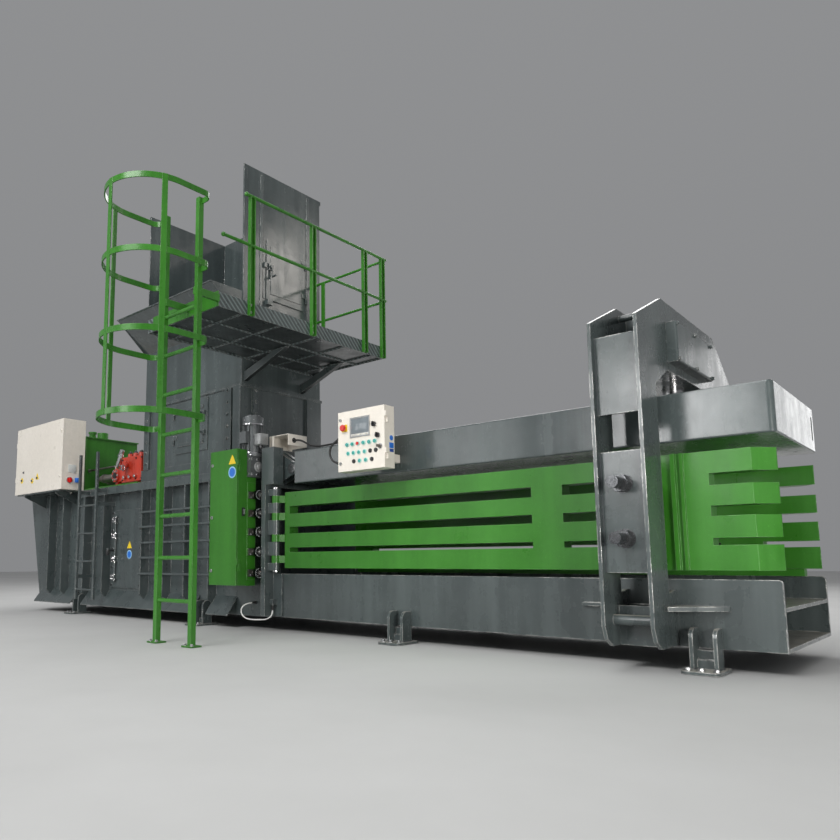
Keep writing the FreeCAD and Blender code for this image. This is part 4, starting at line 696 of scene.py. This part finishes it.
for x in (-2300, -2205):
    p.turn((x, -436, 1710), MZ, [(0, 25), (4, 25), (18, 23), (20, 18)], "black_plastic", 26)
    p.turn((x, -436, 1730), MZ, [(0, 9), (8, 9), (9, 7)], "chrome", 6)
for dx in (-120, 150, 258):
    for dz in (24, 250):
        p.turn((-2016 + dx, -500, 1450 + dz), -MY, [(0, 9), (8, 9), (9, 7.5)], "black_steel", 18)
p.pipe([(-1765, -430, 1700), (-1740, -430, 1700), (-1726, -430, 1712),
        (-1726, -430, 1745), (-1726, -430, 1790)], 14, "zinc")
for x, side in ((-2396, -1), (-2372, 1)):
    for i in range(8):
        a = math.tau * i / 8
        p.turn((x, -430 + 46 * math.cos(a), 1540 + 46 * math.sin(a)), side * MX,
               [(0, 7), (7, 7), (8, 5.5)], "chrome", 6)
p.done()

# head cylinder of the portal: port unions, cover bolts, ring
SQX = 3512.0                                # its axis
p = Piece("head_fittings", "frame", "worn_steel")
aim = (0.8, -0.6, 0)                        # the ports
for z in (1740, 1920):
    p.turn((SQX + 70, -78, z), aim, [(0, 26), (24, 26), (26, 23), (44, 22), (46, 19)], "chrome", 6)
    p.turn((SQX + 107, -106, z), aim, [(0, 15), (18, 15), (20, 12)], "chrome", 20)
for i in range(8):
    a = math.tau * (i + 0.5) / 8
    p.bolt(SQX + 96 * math.cos(a), 96 * math.sin(a), 2040, MZ, 22, 12, "black_steel", "zinc")
p.ring((SQX, 0, 1708), MZ, 114.2, 119, 16, "bright_pin", 56)
p.done()

# bolts of the feet, of the ladder's feet and of the guard rail
p = Piece("anchor_bolts", "frame", "worn_steel")
for x in FEET_X:
    for side in (-1, 1):
        for dx in (28, 92, 164):
            p.bolt(x + dx, side * (HALF + 152), 16, MZ, 24, 13)
for x in (478, 894):
    for dx in (-38, 38):
        p.bolt(x + dx, LAD_Y - 26, 10, MZ, 19, 10, "zinc", "zinc")
for y in (P_Y0 + 303, P_Y0 + 990, P_Y1 - 282, P_Y1 - 24):
    for z in (2482, 2540):
        p.bolt(P_X1, y, z, MX, 15, 8, "zinc", "zinc")
p.done()

# weld beads: portal, feet, ribs of the housing, flat bars of the bed
p = Piece("welds", "frame", "grey_paint")
for x in (3398, 3627):
    for z0, z1 in ((506, 1150), (1354, 1790)):
        for y in (near(300), near(320)):
            p.weld((x, y, z0), (x, y, z1), 5)
for x in FEET_X:
    for dx in (25, 45, 140, 160):
        p.weld((x + dx, near(102), 17), (x + dx, near(2), 17), 5)
for x in RIBS_X:
    for dx in (-8, 8):
        for k in range(8):
            z = 270 + 135 * k
            if not HATCH_X[0] < x + dx < HATCH_X[1]:
                p.weld((x + dx, near(0.5), z), (x + dx, near(0.5), z + 70), 3.6)
for k in range(4):
    p.weld((3150 + 60 * k, near(0.5), 308.5), (3180 + 60 * k, near(0.5), 308.5), 3)
p.weld((3647, near(10), 333), (3647, near(196), 333), 5)
p.weld((3660, near(1), 333), (3900, near(1), 333), 4.5)
p.weld((3660, near(1), 308), (3900, near(1), 308), 4.5)
p.done()

# strain reliefs where the cords enter their housings, and the rubber ring in the cable cover's hole
p = Piece("panel_cord_gland", "beam", "black_rubber")
p.turn((1456, -838, 1290), -MX,
       [(0, 15.5), (3, 17), (14, 17), (16, 14), (22, 13), (42, 9.4), (46, 8.2)], "black_rubber", 28)
panel_gland = p.done()
p = Piece("loop_cord_glands", "frame", "black_rubber")
for at, axis, r in (((227, -596, 223), -MY, 13), ((484, -628, 208), -MZ, 12)):
    p.turn(at, axis, [(0, r), (3, r), (5, 11), (10, 10), (36, 7.2), (40, 6.3)], "black_rubber", 24)
loop_glands = p.done()
round(spline_length(panel_cord), 3)
round(spline_length(loop_cord), 3)
p = Piece("cable_ring", "frame", "black_rubber")
p.ring((641.0, -540, 1592), MX, 13, 22, 3, "black_rubber", 32)
p.ring((631.0, -540, 1592), MX, 13, 17.9, 11, "black_rubber", 32)
p.done()

# ---------------------------------------------------------------- stage
floor_mat, ft, fb = material("floor_paint")
fn = Net(ft)
cloud = fn.remap(fn.noise(0.5, 5, 0.6), 0.35, 0.65)
fn.put(fb.inputs["Base Color"], fn.mix(cloud, (0.56, 0.56, 0.55), (0.62, 0.62, 0.61)))
fb.inputs["Roughness"].default_value = 0.7
bm = bmesh.new()
bmesh.ops.create_grid(bm, x_segments=4, y_segments=4, size=40)
me = bpy.data.meshes.new("floor")
bm.to_mesh(me)
bm.free()
floor = bpy.data.objects.new("floor", me)
floor.location = (0, 0, -0.002)
me.materials.append(floor_mat)
bpy.context.scene.collection.objects.link(floor)

world = bpy.data.worlds.new("studio")
bpy.context.scene.world = world
world.use_nodes = True
wn = Net(world.node_tree)
bg = world.node_tree.nodes["Background"]
tc = wn.node("ShaderNodeTexCoord")
sp = wn.node("ShaderNodeSeparateXYZ")
wn.put(sp.inputs[0], tc.outputs["Generated"])
grad = wn.remap(sp.outputs["Z"], -0.1, 0.9)
wn.put(bg.inputs["Color"], wn.mix(grad, (0.66, 0.67, 0.69), (0.80, 0.81, 0.83)))
bg.inputs["Strength"].default_value = 0.36

# the low lamps light everything but what is in here
no_floor = bpy.data.collections.new("no_floor")
no_floor.objects.link(floor)
no_floor.collection_objects[0].light_linking.link_state = "EXCLUDE"


def area(name, loc, target, size, energy, color=(1, 1, 1), low=False):
    """Soft rectangular lamp; a low one leaves no bright patch on the floor."""
    d = bpy.data.lights.new(name, "AREA")
    d.shape = "RECTANGLE"
    d.size, d.size_y = size
    d.energy = energy
    d.color = color
    o = bpy.data.objects.new(name, d)
    o.location = loc
    o.rotation_euler = (Vector(target) - Vector(loc)).to_track_quat("-Z", "Y").to_euler()
    o.visible_camera = False
    if low:
        o.light_linking.receiver_collection = no_floor
    bpy.context.scene.collection.objects.link(o)


area("key", (2.0, -12.0, 10.5), (0.6, 0, 1.0), (8, 5), 1350)
area("front_low", (1.35, -7.6, 2.7), (3.4, 0, 1.2), (1.9, 1.9), 105, low=True)
area("front_left", (-4.6, -8.2, 3.0), (-0.5, 0, 1.2), (5.0, 2.6), 85, low=True)
area("top", (0.8, 0.0, 11), (0.5, 0, 0), (9, 6), 380)
area("back", (-4.0, 10.5, 8.0), (0, 0.8, 1.0), (9, 6), 600)
area("back_right", (5.0, 7.6, 2.7), (4.2, 0.7, 1.3), (1.3, 2.0), 15, low=True)
area("exit_low", (7.4, -3.2, 0.9), (4.0, 1.2, 0.22), (1.6, 1.0), 190, (1.0, 0.97, 0.93), low=True)
area("right_high", (7.0, 7.3, 7.4), (0, 0.5, 3.2), (1.4, 1.8), 38, (1.0, 0.95, 0.88))
bpy.context.scene.view_settings.view_transform = "Standard"
